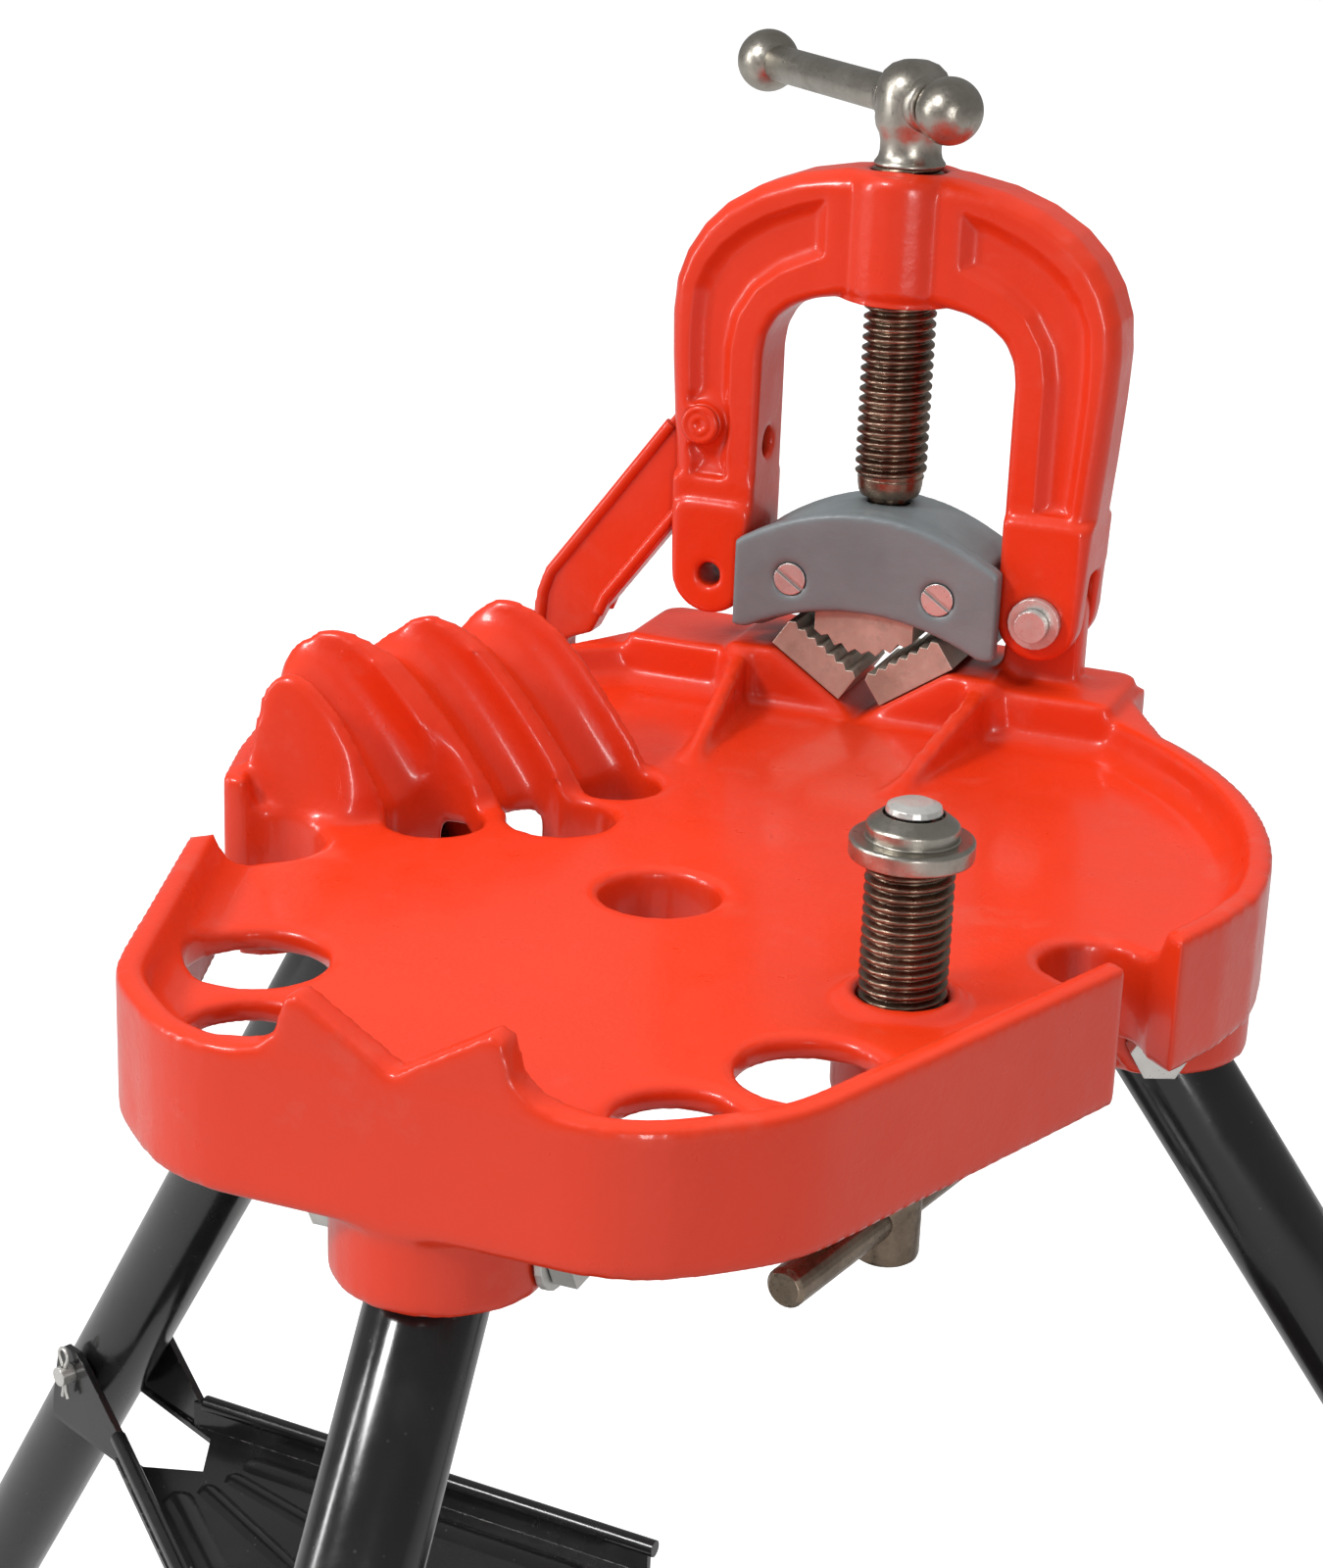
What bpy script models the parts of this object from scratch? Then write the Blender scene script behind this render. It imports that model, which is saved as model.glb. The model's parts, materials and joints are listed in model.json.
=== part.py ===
"""Folding tripod stand with a yoke pipe vise, built from named solids.

All sizes are in millimetres in the stand's own frame: the origin is the tool tray's centre hole at
floor height, X to the right, Y to the back, Z up. The pipe lies along Y. The stand empty then lifts
everything onto the ground and centres its footprint.
"""
import math

import bmesh
import bpy
from mathutils import Matrix, Vector

MM = 0.001

# --- driving dimensions -----------------------------------------------------------------------
TUBE_R = 16.7            # leg tube, one inch pipe
TUBE_WALL = 3.4
LEG_SPLAY = math.radians(33.3)
LEG_LENGTH = 690.0       # pivot to the end of the tube
PIVOT_Z = -42.0
STAND_CENTRE_Y = 19.0    # where the three leg planes meet
LEGS = {                 # azimuth of each leg and the distance of its pivot from the centre
    "front": (-90.0, 165.0),
    "right": (25.0, 144.5),
    "left": (155.0, 144.5),
}

FLOOR_T = 8.0
RIM_H = 13.0
SKIRT_Z = -30.0
WALL = 7.0
DECK_Z = 18.0
DECK_FRONT = 186.0
LOBE_Y, LOBE_R = 50.0, 171.0

YOKE_Y = 207.0           # middle of the yoke's thickness
YOKE_T = 30.0
HINGE_X, HINGE_Z = 60.5, 43.0
EAR_R = 14.5
HINGE_PIN_R = 4.5
PAD_TOPS = {-1: 69.5, 1: 80.0}   # top of the machined pad on each leg of the yoke
YOKE_OUTER = (            # right half of the yoke's outer edge, from the ear to the top
    (76, 60), (77, 80), (78.5, 98), (80, 120), (80.5, 135), (79.5, 147), (76, 157), (70, 166.5), (62, 174.5),
    (50, 181.8), (36, 187), (20, 190), (0, 191.3))
YOKE_INNER = (            # right half of its inner edge, from the top to the ear
    (0, 147.2), (17, 147), (27, 145.3), (35, 142), (41, 137.2), (44.5, 130.5), (45.5, 123))
YOKE_SUNK = (             # sunk web on the right half
    (69.5, 78), (71, 100), (72, 120), (72, 134), (71, 145), (67.5, 153.5), (62, 161), (55, 167), (46, 172.5),
    (34, 177.5), (24, 180), (24, 160), (39, 153), (48, 146), (54, 136), (56, 125), (56, 78))
TONGUE_T = 12.0
HOOK_PIN = (-66.0, 97.0)
HOOK_T = 11.0
HOOK_BAR = (              # outline of the latch bar: outer edge, nose under the lug, inner edge
    (-74, 105), (-126, 37), (-130.5, 30), (-133, 20), (-133.5, 12), (-133.5, -20), (-130, -25), (-112, -25),
    (-111.6, -14), (-120, -12.5), (-120, 7), (-110, 11), (-106, 19), (-53.6, 89.2))

SCREW_R = 12.6
BORE_GAP = 0.3
SADDLE_TOP = 75.0
JAW_LEAN = math.radians(34)
JAW_SLOPE = math.tan(JAW_LEAN)
HEAD_Z = 213.0           # centre of the handle's eye
HEAD_PROFILE = (          # forged head: radius, height above the eye's centre
    (11.4, -22.0), (12.2, -21.2), (12.2, -20.4), (10.6, -18.2), (10.5, -13.5), (11.0, -11.0), (12.8, -6.0),
    (12.8, 3.0), (12.2, 6.5), (10.6, 9.8), (8.0, 12.2), (4.6, 13.5), (0, 14))
HANDLE_R = 6.5
HANDLE_SPAN = 135.0      # between the balls' centres
HANDLE_TURN = math.radians(46.5)
BALL_R = 11.3

BRACE_X, BRACE_Y = 91.0, -44.5
BRACE_BAR_Z = -66.0
BRACE_BAR_R = 6.0
BRACE_TURN = math.radians(-101.0)

SHOE_SOLE = -6.5          # underside of the shoe, inside the floor's thickness
SHOE_CREST = (            # crest of the bending shoe: distance from its foot, height
    (0, -1), (4.5, 8), (14, 21), (24, 33.5), (34, 44), (44, 50), (52, 52.5), (58, 51.5), (64, 46.5), (68, 40),
    (70, 30), (72, 10))
GROOVE_LINE = (           # line of the bending grooves over the crest
    (0, 0), (5, 9), (14, 21.5), (24, 33.5), (34, 43.5), (43, 49.5), (52, 52), (62, 51), (74, 46), (92, 34))
SHOE_FRONT = (            # the same for its first ridge, which the tray's wall cuts short
    (0, -1), (2, 10), (7, 23.5), (14, 34.5), (22, 42.5), (27, 45), (31, 45.8), (35, 43.5), (38, 38), (40, 28),
    (41, 18), (42, 8))
SHOE_FEET = ((-6.0, -119.5), (12.0, -104.0), (41.0, -78.5), (66.0, -57.5), (85.0, -49.5), (102.0, -44.0))
SHOE_SECTIONS = (         # y, share of the crest's height, crest
    (-5.0, 0.02, SHOE_FRONT), (4.6, 0.03, SHOE_FRONT), (7.0, 0.26, SHOE_FRONT), (9.0, 0.66, SHOE_FRONT),
    (10.8, 0.98, SHOE_FRONT), (14.5, 1.0, SHOE_FRONT), (38.0, 1.0, SHOE_CREST), (66.0, 1.02, SHOE_CREST),
    (102.0, 1.0, SHOE_CREST))
GROOVES = ((26.5, 12.3), (54.0, 10.8), (84.0, 14.2))   # y and radius of each bending groove
GROOVE_HOLES = ((-88.5, 26.1, 15.8), (-53.6, 46.8, 17.6), (-49.7, 85.2, 11.0))
SLOTS = (                 # side slots: centre, radius and the mouth that opens outwards
    (133.0, 7.2, 16.1, ((124.5, -6.4), (149.5, -23.0), (190.0, -38.0), (190.0, -9.0), (158.3, 3.5),
                        (134.5, 22.8))),
    (-128.0, -15.0, 19.3, ((-119.0, -32.0), (-131.0, -52.0), (-190.0, -52.0), (-190.0, -1.5), (-143.0, -2.5),
                           (-129.0, 4.2))))
SLOT_WALL = 7.5
CENTRE_HOLE_R = 18.7
WRENCH_HOLES = ((84.0, -99.0, 20.9), (62.5, -141.4, 17.7))   # x, y and radius, on both sides
COLLAR_WALL = 6.2         # collars under the centre hole and the bending holes
COLLAR_Z = -22.0
CUT_LOW, CUT_HIGH = -60.0, 90.0   # reach of the cutters that go right through
LEFT_TUCK = 0.045         # how far the tray's left side is drawn in, as a share of x

PIN_DROP = 328.0         # leg pivot to tray pin, along the leg
LEAF_DEPTH = 25.0        # leaf floor below its pin
LEAF_T = 2.5
LEAF_GAP = 38.0          # radial room between a leaf and its neighbours' sector line
PLATE_R = 46.0


# --- shapes -----------------------------------------------------------------------------------
AXES = {"x": ((0, 1, 0), (0, 0, 1), (1, 0, 0)),
        "y": ((1, 0, 0), (0, 0, 1), (0, 1, 0)),
        "z": ((1, 0, 0), (0, 1, 0), (0, 0, 1))}


def loft(rings):
    """Closed solid through rings of points that have equal counts."""
    bm = bmesh.new()
    loops = [[bm.verts.new(p) for p in ring] for ring in rings]
    count = len(loops[0])
    for low, high in zip(loops, loops[1:]):
        for i in range(count):
            j = (i + 1) % count
            bm.faces.new((low[i], low[j], high[j], high[i]))
    bm.faces.new(loops[0])
    bm.faces.new(loops[-1])
    bmesh.ops.recalc_face_normals(bm, faces=bm.faces)
    return bm


def prism(outline, axis, low, high):
    """Outline in the plane across the axis, extruded from low to high."""
    a, b, n = (Vector(v) for v in AXES[axis])
    return loft([[a * u + b * v + n * w for u, v in outline] for w in (low, high)])


def circle(centre, radius, sides=24):
    step = math.tau / sides
    return [(centre[0] + radius * math.cos(i * step), centre[1] + radius * math.sin(i * step))
            for i in range(sides)]


def rod(axis, centre, radius, low, high, sides=24):
    return prism(circle(centre, radius, sides), axis, low, high)


def box(x, y, z):
    return prism([(x[0], y[0]), (x[1], y[0]), (x[1], y[1]), (x[0], y[1])], "z", z[0], z[1])


def lathe(profile, sides=24):
    """Turned solid about Z; the profile is (radius, z) from the bottom to the top, on the axis."""
    bm = bmesh.new()
    bottom = bm.verts.new((0, 0, profile[0][1]))
    top = bm.verts.new((0, 0, profile[-1][1]))
    rings = [[bm.verts.new((x, y, z)) for x, y in circle((0, 0), r, sides)]
             for r, z in profile if r > 0]
    for low, high in zip(rings, rings[1:]):
        for i in range(sides):
            j = (i + 1) % sides
            bm.faces.new((low[i], low[j], high[j], high[i]))
    for i in range(sides):
        j = (i + 1) % sides
        bm.faces.new((bottom, rings[0][j], rings[0][i]))
        bm.faces.new((top, rings[-1][i], rings[-1][j]))
    bmesh.ops.recalc_face_normals(bm, faces=bm.faces)
    return bm


def pipe(path, radius, sides=20):
    """Round bar along a path that lies in a plane of constant Y."""
    rings = []
    for i, p in enumerate(path):
        ahead = Vector(path[min(i + 1, len(path) - 1)])
        behind = Vector(path[max(i - 1, 0)])
        along = (ahead - behind).normalized()
        side = Vector((0, 1, 0))
        up = along.cross(side)
        rings.append([Vector(p) + side * u + up * v for u, v in circle((0, 0), radius, sides)])
    return loft(rings)


def arc(centre, radius, start, end, steps=12):
    """Points on an arc, angles in degrees, in the plane of the outline."""
    turn = [math.radians(start + (end - start) * i / steps) for i in range(steps + 1)]
    return [(centre[0] + radius * math.cos(t), centre[1] + radius * math.sin(t)) for t in turn]


def rounded(corners, steps=5):
    """Outline from (x, y, fillet radius) corners."""
    points = []
    count = len(corners)
    for i, (x, y, radius) in enumerate(corners):
        if radius <= 0:
            points.append((x, y))
            continue
        here = Vector((x, y))
        back = (Vector(corners[i - 1][:2]) - here).normalized()
        on = (Vector(corners[(i + 1) % count][:2]) - here).normalized()
        reach = radius / math.tan(back.angle(on) / 2)
        a, b = here + back * reach, here + on * reach
        for k in range(steps + 1):
            t = k / steps
            points.append(tuple(a * (1 - t) ** 2 + here * 2 * t * (1 - t) + b * t ** 2))
    return points


def inset(outline, distance):
    """Anticlockwise outline moved inwards."""
    moved = []
    count = len(outline)
    for i in range(count):
        p = Vector(outline[i])
        before = (p - Vector(outline[i - 1])).normalized()
        after = (Vector(outline[(i + 1) % count]) - p).normalized()
        normal = Vector((-before.y - after.y, before.x + after.x)).normalized()
        lean = max(0.5, normal.dot(Vector((-before.y, before.x))))
        moved.append(tuple(p + normal * distance / lean))
    return moved


def mirrored(half):
    """Anticlockwise outline from its right half, which runs from front to back."""
    return list(half) + [(-x, *rest) for x, *rest in reversed(half)]


def moved(bm, matrix):
    bmesh.ops.transform(bm, matrix=matrix, verts=bm.verts)
    return bm


def shifted(bm, x=0.0, y=0.0, z=0.0):
    return moved(bm, Matrix.Translation((x, y, z)))


def scratch(bm):
    mesh = bpy.data.meshes.new("scratch")
    bm.to_mesh(mesh)
    bm.free()
    thing = bpy.data.objects.new("scratch", mesh)
    bpy.context.scene.collection.objects.link(thing)
    return thing


def boolean(base, tool, operation):
    """Exact boolean of two bmeshes."""
    a, b = scratch(base), scratch(tool)
    step = a.modifiers.new("step", "BOOLEAN")
    step.operation = operation
    step.solver = "EXACT"
    step.object = b
    bpy.context.view_layer.update()
    result = bmesh.new()
    result.from_mesh(a.evaluated_get(bpy.context.evaluated_depsgraph_get()).data)
    for thing in (a, b):
        mesh = thing.data
        bpy.data.objects.remove(thing)
        bpy.data.meshes.remove(mesh)
    bmesh.ops.remove_doubles(result, verts=result.verts, dist=0.0005)
    bmesh.ops.dissolve_limit(result, angle_limit=math.radians(0.05), verts=result.verts, edges=result.edges)
    return result


def join(base, *tools):
    for tool in tools:
        base = boolean(base, tool, "UNION")
    return base


def cut(base, *tools):
    for tool in tools:
        base = boolean(base, tool, "DIFFERENCE")
    return base


# --- objects ----------------------------------------------------------------------------------
PAINTS = {
    "red_enamel": ((0.56, 0.035, 0.018), 0.35, 0.0),
    "grey_paint": ((0.23, 0.27, 0.29), 0.45, 0.0),
    "black_enamel": ((0.012, 0.012, 0.013), 0.3, 0.0),
    "oiled_steel": ((0.16, 0.12, 0.09), 0.4, 0.9),
    "forged_steel": ((0.50, 0.48, 0.45), 0.35, 1.0),
    "jaw_steel": ((0.30, 0.27, 0.24), 0.45, 0.8),
    "zinc": ((0.62, 0.62, 0.62), 0.3, 1.0),
    "foot_iron": ((0.05, 0.05, 0.05), 0.6, 0.3),
}


def material(name, paint):
    colour, roughness, metallic = PAINTS[paint]
    made = bpy.data.materials.new(name)
    made.use_nodes = True
    shader = made.node_tree.nodes["Principled BSDF"]
    shader.inputs["Base Color"].default_value = (*colour, 1.0)
    shader.inputs["Roughness"].default_value = roughness
    shader.inputs["Metallic"].default_value = metallic
    return made


def empty(name, parent, place, turn=0.0):
    made = bpy.data.objects.new(name, None)
    bpy.context.scene.collection.objects.link(made)
    made.parent = parent
    made.location = Vector(place) * MM
    made.rotation_euler = (0, 0, turn)
    return made


def part(name, bm, paint, parent, frame=(0, 0, 0), place=(0, 0, 0), tilt=0.0):
    """Object from a bmesh in millimetres whose coordinates are those of the given frame point."""
    shifted(bm, -frame[0], -frame[1], -frame[2])
    bmesh.ops.scale(bm, vec=(MM, MM, MM), verts=bm.verts)
    bmesh.ops.triangulate(bm, faces=[f for f in bm.faces if len(f.verts) > 4])
    bmesh.ops.recalc_face_normals(bm, faces=bm.faces)
    mesh = bpy.data.meshes.new(name)
    bm.to_mesh(mesh)
    bm.free()
    mesh.set_sharp_from_angle(angle=math.radians(32))
    for face in mesh.polygons:
        face.use_smooth = True
    made = bpy.data.objects.new(name, mesh)
    bpy.context.scene.collection.objects.link(made)
    made.data.materials.append(material(name, paint))
    made.parent = parent
    made.location = Vector(place) * MM
    made.rotation_euler = (0, tilt, 0)
    return made


# --- base casting -----------------------------------------------------------------------------
def left_share(x, y):
    """1 halfway along the tray's left side and 0 at its two ends and on the right."""
    if x >= 0 or not -150.0 < y < 110.0:
        return 0.0
    return math.sin(math.pi * (y + 150.0) / 260.0)


def tray_outline(deck=True):
    """Plan of the tool tray: straight front, tapering sides, round back lobe and a square deck."""
    front = rounded([(0, -182, 0), (66, -182, 48), (100, -152, 60), (151, -18, 0), (166, 26, 0)])[1:]
    lobe = arc((0, LOBE_Y), LOBE_R, 0, 50, 12)
    back = [(92, 214), (92, 231)] if deck else [(92, 196)]
    outline = mirrored(front + lobe + back)
    return [(x * (1 - LEFT_TUCK * left_share(x, y)), y) for x, y in outline]


def shoe_foot(y):
    """X of the shoe's foot line on the floor at one Y."""
    for (y0, x0), (y1, x1) in zip(SHOE_FEET, SHOE_FEET[1:]):
        if y <= y1:
            return x0 + (x1 - x0) * (y - y0) / (y1 - y0)
    return SHOE_FEET[-1][1]


def shoe():
    """Pipe bending shoe: curved crest that rises from the floor and ends in a slope at the front."""
    rings = []
    for y, height, crest in SHOE_SECTIONS:
        foot = shoe_foot(y)
        outline = [(foot - u, v * height) for u, v in crest]
        last = outline[-1][0]
        outline += [(last - 1.0, SHOE_SOLE), (foot, SHOE_SOLE)]
        rings.append([(x, y, z) for x, z in outline])
    return loft(rings)


def groove_cutters():
    """Bending grooves that follow the crest, and the holes that they run into."""
    cutters = []
    for y, radius in GROOVES:
        foot = shoe_foot(y)
        path = [(foot + 1.0, y, -45.0), (foot + 1.0, y, -12.0)]
        path += [(foot - u + 1.0, y, v + 1.0) for u, v in GROOVE_LINE]
        cutters.append(pipe(path, radius))
    for x, y, radius in GROOVE_HOLES:
        cutters.append(rod("z", (x, y), radius, -60, 26))
    return cutters


def socket_solid():
    """D-shaped leg socket in the leg's frame: x outwards, y along the pivot, z up."""
    shell = rod("z", (5.0, 0.0), 30.0, -54.0 - PIVOT_Z, -4.0 - PIVOT_Z, 28)
    cheeks = box((-22.0, 5.0), (-29.9, 29.9), (-47.0 - PIVOT_Z, -4.0 - PIVOT_Z))
    eyes = rod("y", (0.0, 0.0), 12.4, -29.8, 29.8, 24)
    return join(shell, cheeks, eyes)


def socket_void():
    well = rod("z", (9.7, 0.0), 18.7, -80.0, -FLOOR_T - PIVOT_Z, 24)
    run = box((-60.0, 9.7), (-18.7, 18.7), (-80.0, -FLOOR_T - PIVOT_Z))
    bolt = rod("y", (0.0, 0.0), 6.5, -60.0, 60.0, 24)
    return join(well, run, bolt)


def leg_frame(leg):
    """Matrix of a leg's pivot frame: x outwards, y along the pivot bolt."""
    azimuth, reach = LEGS[leg]
    turn = math.radians(azimuth)
    place = Vector((reach * math.cos(turn), STAND_CENTRE_Y + reach * math.sin(turn), PIVOT_Z))
    return Matrix.Translation(place) @ Matrix.Rotation(turn, 4, "Z")


def rest_plate():
    """Front plate with the V that a pipe rests in."""
    half = [(0, 15), (27, 31.5), (31, 30), (34, 19), (40, 14.5), (52, RIM_H - 0.5), (52, -10)]
    outline = [(-x, z) for x, z in reversed(half[1:])] + half
    return prism(outline, "y", -181.7, -172.0)


def rib(side):
    """Buttress from the jaw seat down to the floor."""
    width = 3.2
    back, foot = (side * 45.0, DECK_FRONT + 2.0), (side * 35.6, 112.0)
    outline = [(back[1], 20.0), (back[1], -3.0), (foot[1] - 12.0, -3.0), (foot[1], 0.4)]
    bm = prism(outline, "x", -width, width)
    slope = (back[0] - foot[0]) / (back[1] - foot[1])
    for vert in bm.verts:
        vert.co.x += foot[0] + (vert.co.y - foot[1]) * slope
    return bm


def seat():
    """Block behind the floor with the V seat of the lower jaws."""
    block = prism(rounded([(-54, -5, 0), (54, -5, 0), (50, 21.5, 3), (-50, 21.5, 3)]), "y", 183.0, 230.0)
    vee = prism([(0, 0), (60, 60 * JAW_SLOPE), (60, 60), (-60, 60), (-60, 60 * JAW_SLOPE)],
                "y", 170.0, 240.0)
    return block, vee


def base_casting():
    outline = tray_outline()
    body = prism(outline, "z", SKIRT_Z, RIM_H)
    floor = tray_outline(deck=False)
    body = cut(body, loft([[(x, y, 0) for x, y in inset(floor, 16)],
                           [(x, y, 4) for x, y in inset(floor, 10)],
                           [(x, y, RIM_H + 1) for x, y in inset(floor, WALL)]]))
    body = cut(body, prism(inset(outline, WALL), "z", SKIRT_Z - 1, -FLOOR_T))
    deck = prism(rounded([(-90, DECK_FRONT, 0), (90, DECK_FRONT, 0), (90, 230, 10), (-90, 230, 10)]),
                 "z", -FLOOR_T + 1, DECK_Z)
    slots = []
    for x, y, radius, _ in SLOTS:
        wall = rod("z", (x, y), radius + SLOT_WALL, SKIRT_Z + 0.2, -2, 28)
        slots.append(boolean(wall, prism(inset(outline, 0.2), "z", -60, 30), "INTERSECT"))
    grooves = groove_cutters()
    bender = boolean(shoe(), prism(inset(outline, 5.0), "z", SHOE_SOLE - 0.1, 80), "INTERSECT")
    block, vee = seat()
    body = join(body, deck, block, rest_plate(), rib(-1), rib(1), *slots, bender)
    for x, y, radius in GROOVE_HOLES + ((0.0, 0.0, CENTRE_HOLE_R),):
        body = join(body, rod("z", (x, y), radius + COLLAR_WALL, COLLAR_Z, -1.0))
    body = join(body, rod("z", (BRACE_X, BRACE_Y), 19.0, -28.0, -1.0))
    body = join(body, rod("z", (BRACE_X, BRACE_Y), 17.5, -1.0, 3.4))
    for leg in LEGS:
        body = join(body, moved(socket_solid(), leg_frame(leg)))
    tongue = join(rod("y", (HINGE_X, HINGE_Z), EAR_R - 0.5, YOKE_Y - TONGUE_T / 2, YOKE_Y + TONGUE_T / 2),
                  box((HINGE_X - 14.0, HINGE_X + 13.8), (YOKE_Y - 5.9, YOKE_Y + 5.9), (10.0, HINGE_Z)))
    lug = box((-114.0, -88.0), (YOKE_Y - 8.0, YOKE_Y + 8.0), (-8.0, 4.0))
    body = join(body, tongue, lug)
    body = cut(body, vee)
    for leg in LEGS:
        body = cut(body, moved(socket_void(), leg_frame(leg)))
    holes = [rod("z", (0, 0), CENTRE_HOLE_R, CUT_LOW, 40)]
    for side in (-1, 1):
        holes += [rod("z", (side * x, y), radius, CUT_LOW, 40) for x, y, radius in WRENCH_HOLES]
    for x, y, radius, mouth in SLOTS:
        holes.append(join(rod("z", (x, y), radius, CUT_LOW, CUT_HIGH), prism(mouth, "z", CUT_LOW, CUT_HIGH)))
    holes.append(rod("z", (BRACE_X, BRACE_Y), SCREW_R + BORE_GAP, CUT_LOW, 40))
    holes.append(rod("y", (HINGE_X, HINGE_Z), HINGE_PIN_R + 0.1, 150, 260, 24))
    return cut(body, *holes, *grooves)


# --- yoke, hook and clamp -----------------------------------------------------------------------
def yoke_outline():
    ear = arc((HINGE_X, HINGE_Z), EAR_R, -180, 0, 14)
    return mirrored(list(YOKE_INNER) + ear + list(YOKE_OUTER))


def yoke_recess():
    """Cutter for the sunk web between the yoke's two raised edges, one for each face."""
    tools = []
    for low, high in ((180.0, YOKE_Y - YOKE_T / 2 + 3.2), (YOKE_Y + YOKE_T / 2 - 3.2, 240.0)):
        tools.append(prism(YOKE_SUNK, "y", low, high))
        tools.append(prism([(-x, z) for x, z in YOKE_SUNK], "y", low, high))
    return tools


def yoke():
    body = prism(yoke_outline(), "y", YOKE_Y - YOKE_T / 2, YOKE_Y + YOKE_T / 2)
    body = cut(body, *yoke_recess())
    body = join(body, shifted(rod("z", (0, 0), 21.0, 145.6, 189.6), y=YOKE_Y))
    for side in (-1, 1):
        inner, outer, top = side * 45.8, side * 74.8, PAD_TOPS[side]
        pad = prism(rounded([(inner, 28.7, 0), (outer, 28.7, 0), (outer, top, 6), (inner, top, 6)]), "y",
                    YOKE_Y - YOKE_T / 2 - 2, YOKE_Y - 8)
        ear = rod("y", (side * HINGE_X, HINGE_Z), EAR_R - 0.1, YOKE_Y - 30, YOKE_Y)
        high = box((side * HINGE_X - 14.3, side * HINGE_X + 14.3), (YOKE_Y - 40, YOKE_Y),
                   (HINGE_Z, CUT_HIGH))
        body = join(body, boolean(pad, join(ear, high), "INTERSECT"))
    body = join(body, rod("y", HOOK_PIN, 7.5, YOKE_Y - YOKE_T / 2 - 1.2, YOKE_Y - 9, 28))
    bore = shifted(rod("z", (0, 0), SCREW_R + BORE_GAP, 130, 200), y=YOKE_Y)
    fork = join(rod("y", (HINGE_X, HINGE_Z), EAR_R + 1, YOKE_Y - 6.5, YOKE_Y + 6.5),
                box((HINGE_X - 16, 110), (YOKE_Y - 6.45, YOKE_Y + 6.45), (0, HINGE_Z + EAR_R + 0.8)))
    slot_y = (YOKE_Y - HOOK_T / 2 - 0.6, YOKE_Y + HOOK_T / 2 + 0.6)
    hook_slot = join(box((-100, -50), slot_y, (66, 124)), box((-101, -67.5), slot_y, (51, 70)))
    pins = [rod("y", (HINGE_X, HINGE_Z), 4.6, 150, 260, 24), rod("y", (-HINGE_X, HINGE_Z), 4.3, 150, 260, 24),
            rod("x", (YOKE_Y, 90), 5.5, -60, -30, 24), rod("y", HOOK_PIN, 4.1, YOKE_Y - 12, YOKE_Y + 30, 24)]
    return cut(body, bore, fork, hook_slot, *pins)


def hook():
    """Flat latch bar with an eye, a knee and a nose that catches under the tray's lug."""
    eye = rod("y", HOOK_PIN, 10.5, YOKE_Y - HOOK_T / 2, YOKE_Y + HOOK_T / 2, 28)
    bar = prism(HOOK_BAR, "y", YOKE_Y - HOOK_T / 2 + 0.1, YOKE_Y + HOOK_T / 2 - 0.1)
    return cut(join(bar, eye), rod("y", HOOK_PIN, 4.1, 150, 260, 24))


def arch_curve(half, top, side, steps=7):
    """Right half of a shallow arch, from its foot up to its middle."""
    return [(half * (1 - i / steps), top - (top - side) * (1 - i / steps) ** 2) for i in range(steps + 1)]


def saddle():
    """Arched jaw carrier: a body between the yoke's legs and a flange in front of them."""
    def arch(half, drop):
        top = [(u, v - drop) for u, v in arch_curve(half, SADDLE_TOP, 60.0)]
        low = [(u, v) for u, v in reversed(arch_curve(half - 5.0, 39.0, 28.0))] + [(half, 28.0)]
        right = low + top
        return right + [(-x, z) for x, z in reversed(right) if x > 0]
    body = prism(arch(43.8, 0.0), "y", 188.0, 221.0)
    flange = prism(arch(48.0, 0.6), "y", 182.5, 189.6)
    body = join(body, flange)
    room = prism([(-18.4, 20), (18.4, 20), (18.4, 50.4), (-18.4, 50.4)], "y", 186.0, 230.0)
    swivel = shifted(rod("z", (0, 0), 7.4, SADDLE_TOP - 8.0, SADDLE_TOP + 5), y=YOKE_Y)
    holes = []
    for side in (-1, 1):
        holes.append(rod("y", (side * 27, 48), 6.1, 170, 184.5, 24))
        holes.append(rod("y", (side * 27, 48), 3.3, 180, 205, 20))
    return cut(body, room, swivel, *holes)


def toothed_block(length, height, depth, teeth=7, tooth=1.6):
    """Jaw block along X with teeth across its top, centred on its bottom face."""
    step = length / teeth
    top = []
    for i in range(teeth):
        left = -length / 2 + i * step
        top += [(left, height - tooth), (left + step * 0.5, height)]
    outline = [(-length / 2, 0), (length / 2, 0), (length / 2, height - tooth)] + top[::-1]
    return prism(outline, "y", -depth / 2, depth / 2)


def upper_jaw():
    teeth = [(18.0, 30.0), (15.4, 28.2), (12.9, 28.9), (10.3, 25.2), (7.7, 26.4), (5.1, 23.4), (2.6, 25.0),
             (0, 23.4)]
    outline = [(-x, z) for x, z in teeth] + [(x, z) for x, z in reversed(teeth[:-1])] + [(18, 50), (-18, 50)]
    return prism(outline, "y", 186.4, 220.0)


def lower_jaw(side):
    block = toothed_block(31.0, 12.0, 34.0)
    middle = 7.0 + 13.5
    place = Matrix.Translation((side * middle, 203.0, middle * JAW_SLOPE + 0.5))
    return moved(block, place @ Matrix.Rotation(-JAW_LEAN * side, 4, "Y"))


def slotted_screw():
    screw = join(rod("y", (0, 0), 5.7, 182.6, 184.3, 28), rod("y", (0, 0), 3.0, 184.0, 204.0, 16))
    return cut(screw, moved(box((-8, 8), (180.0, 183.5), (-0.8, 0.8)), Matrix.Rotation(0.6, 4, "Y")))


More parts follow.
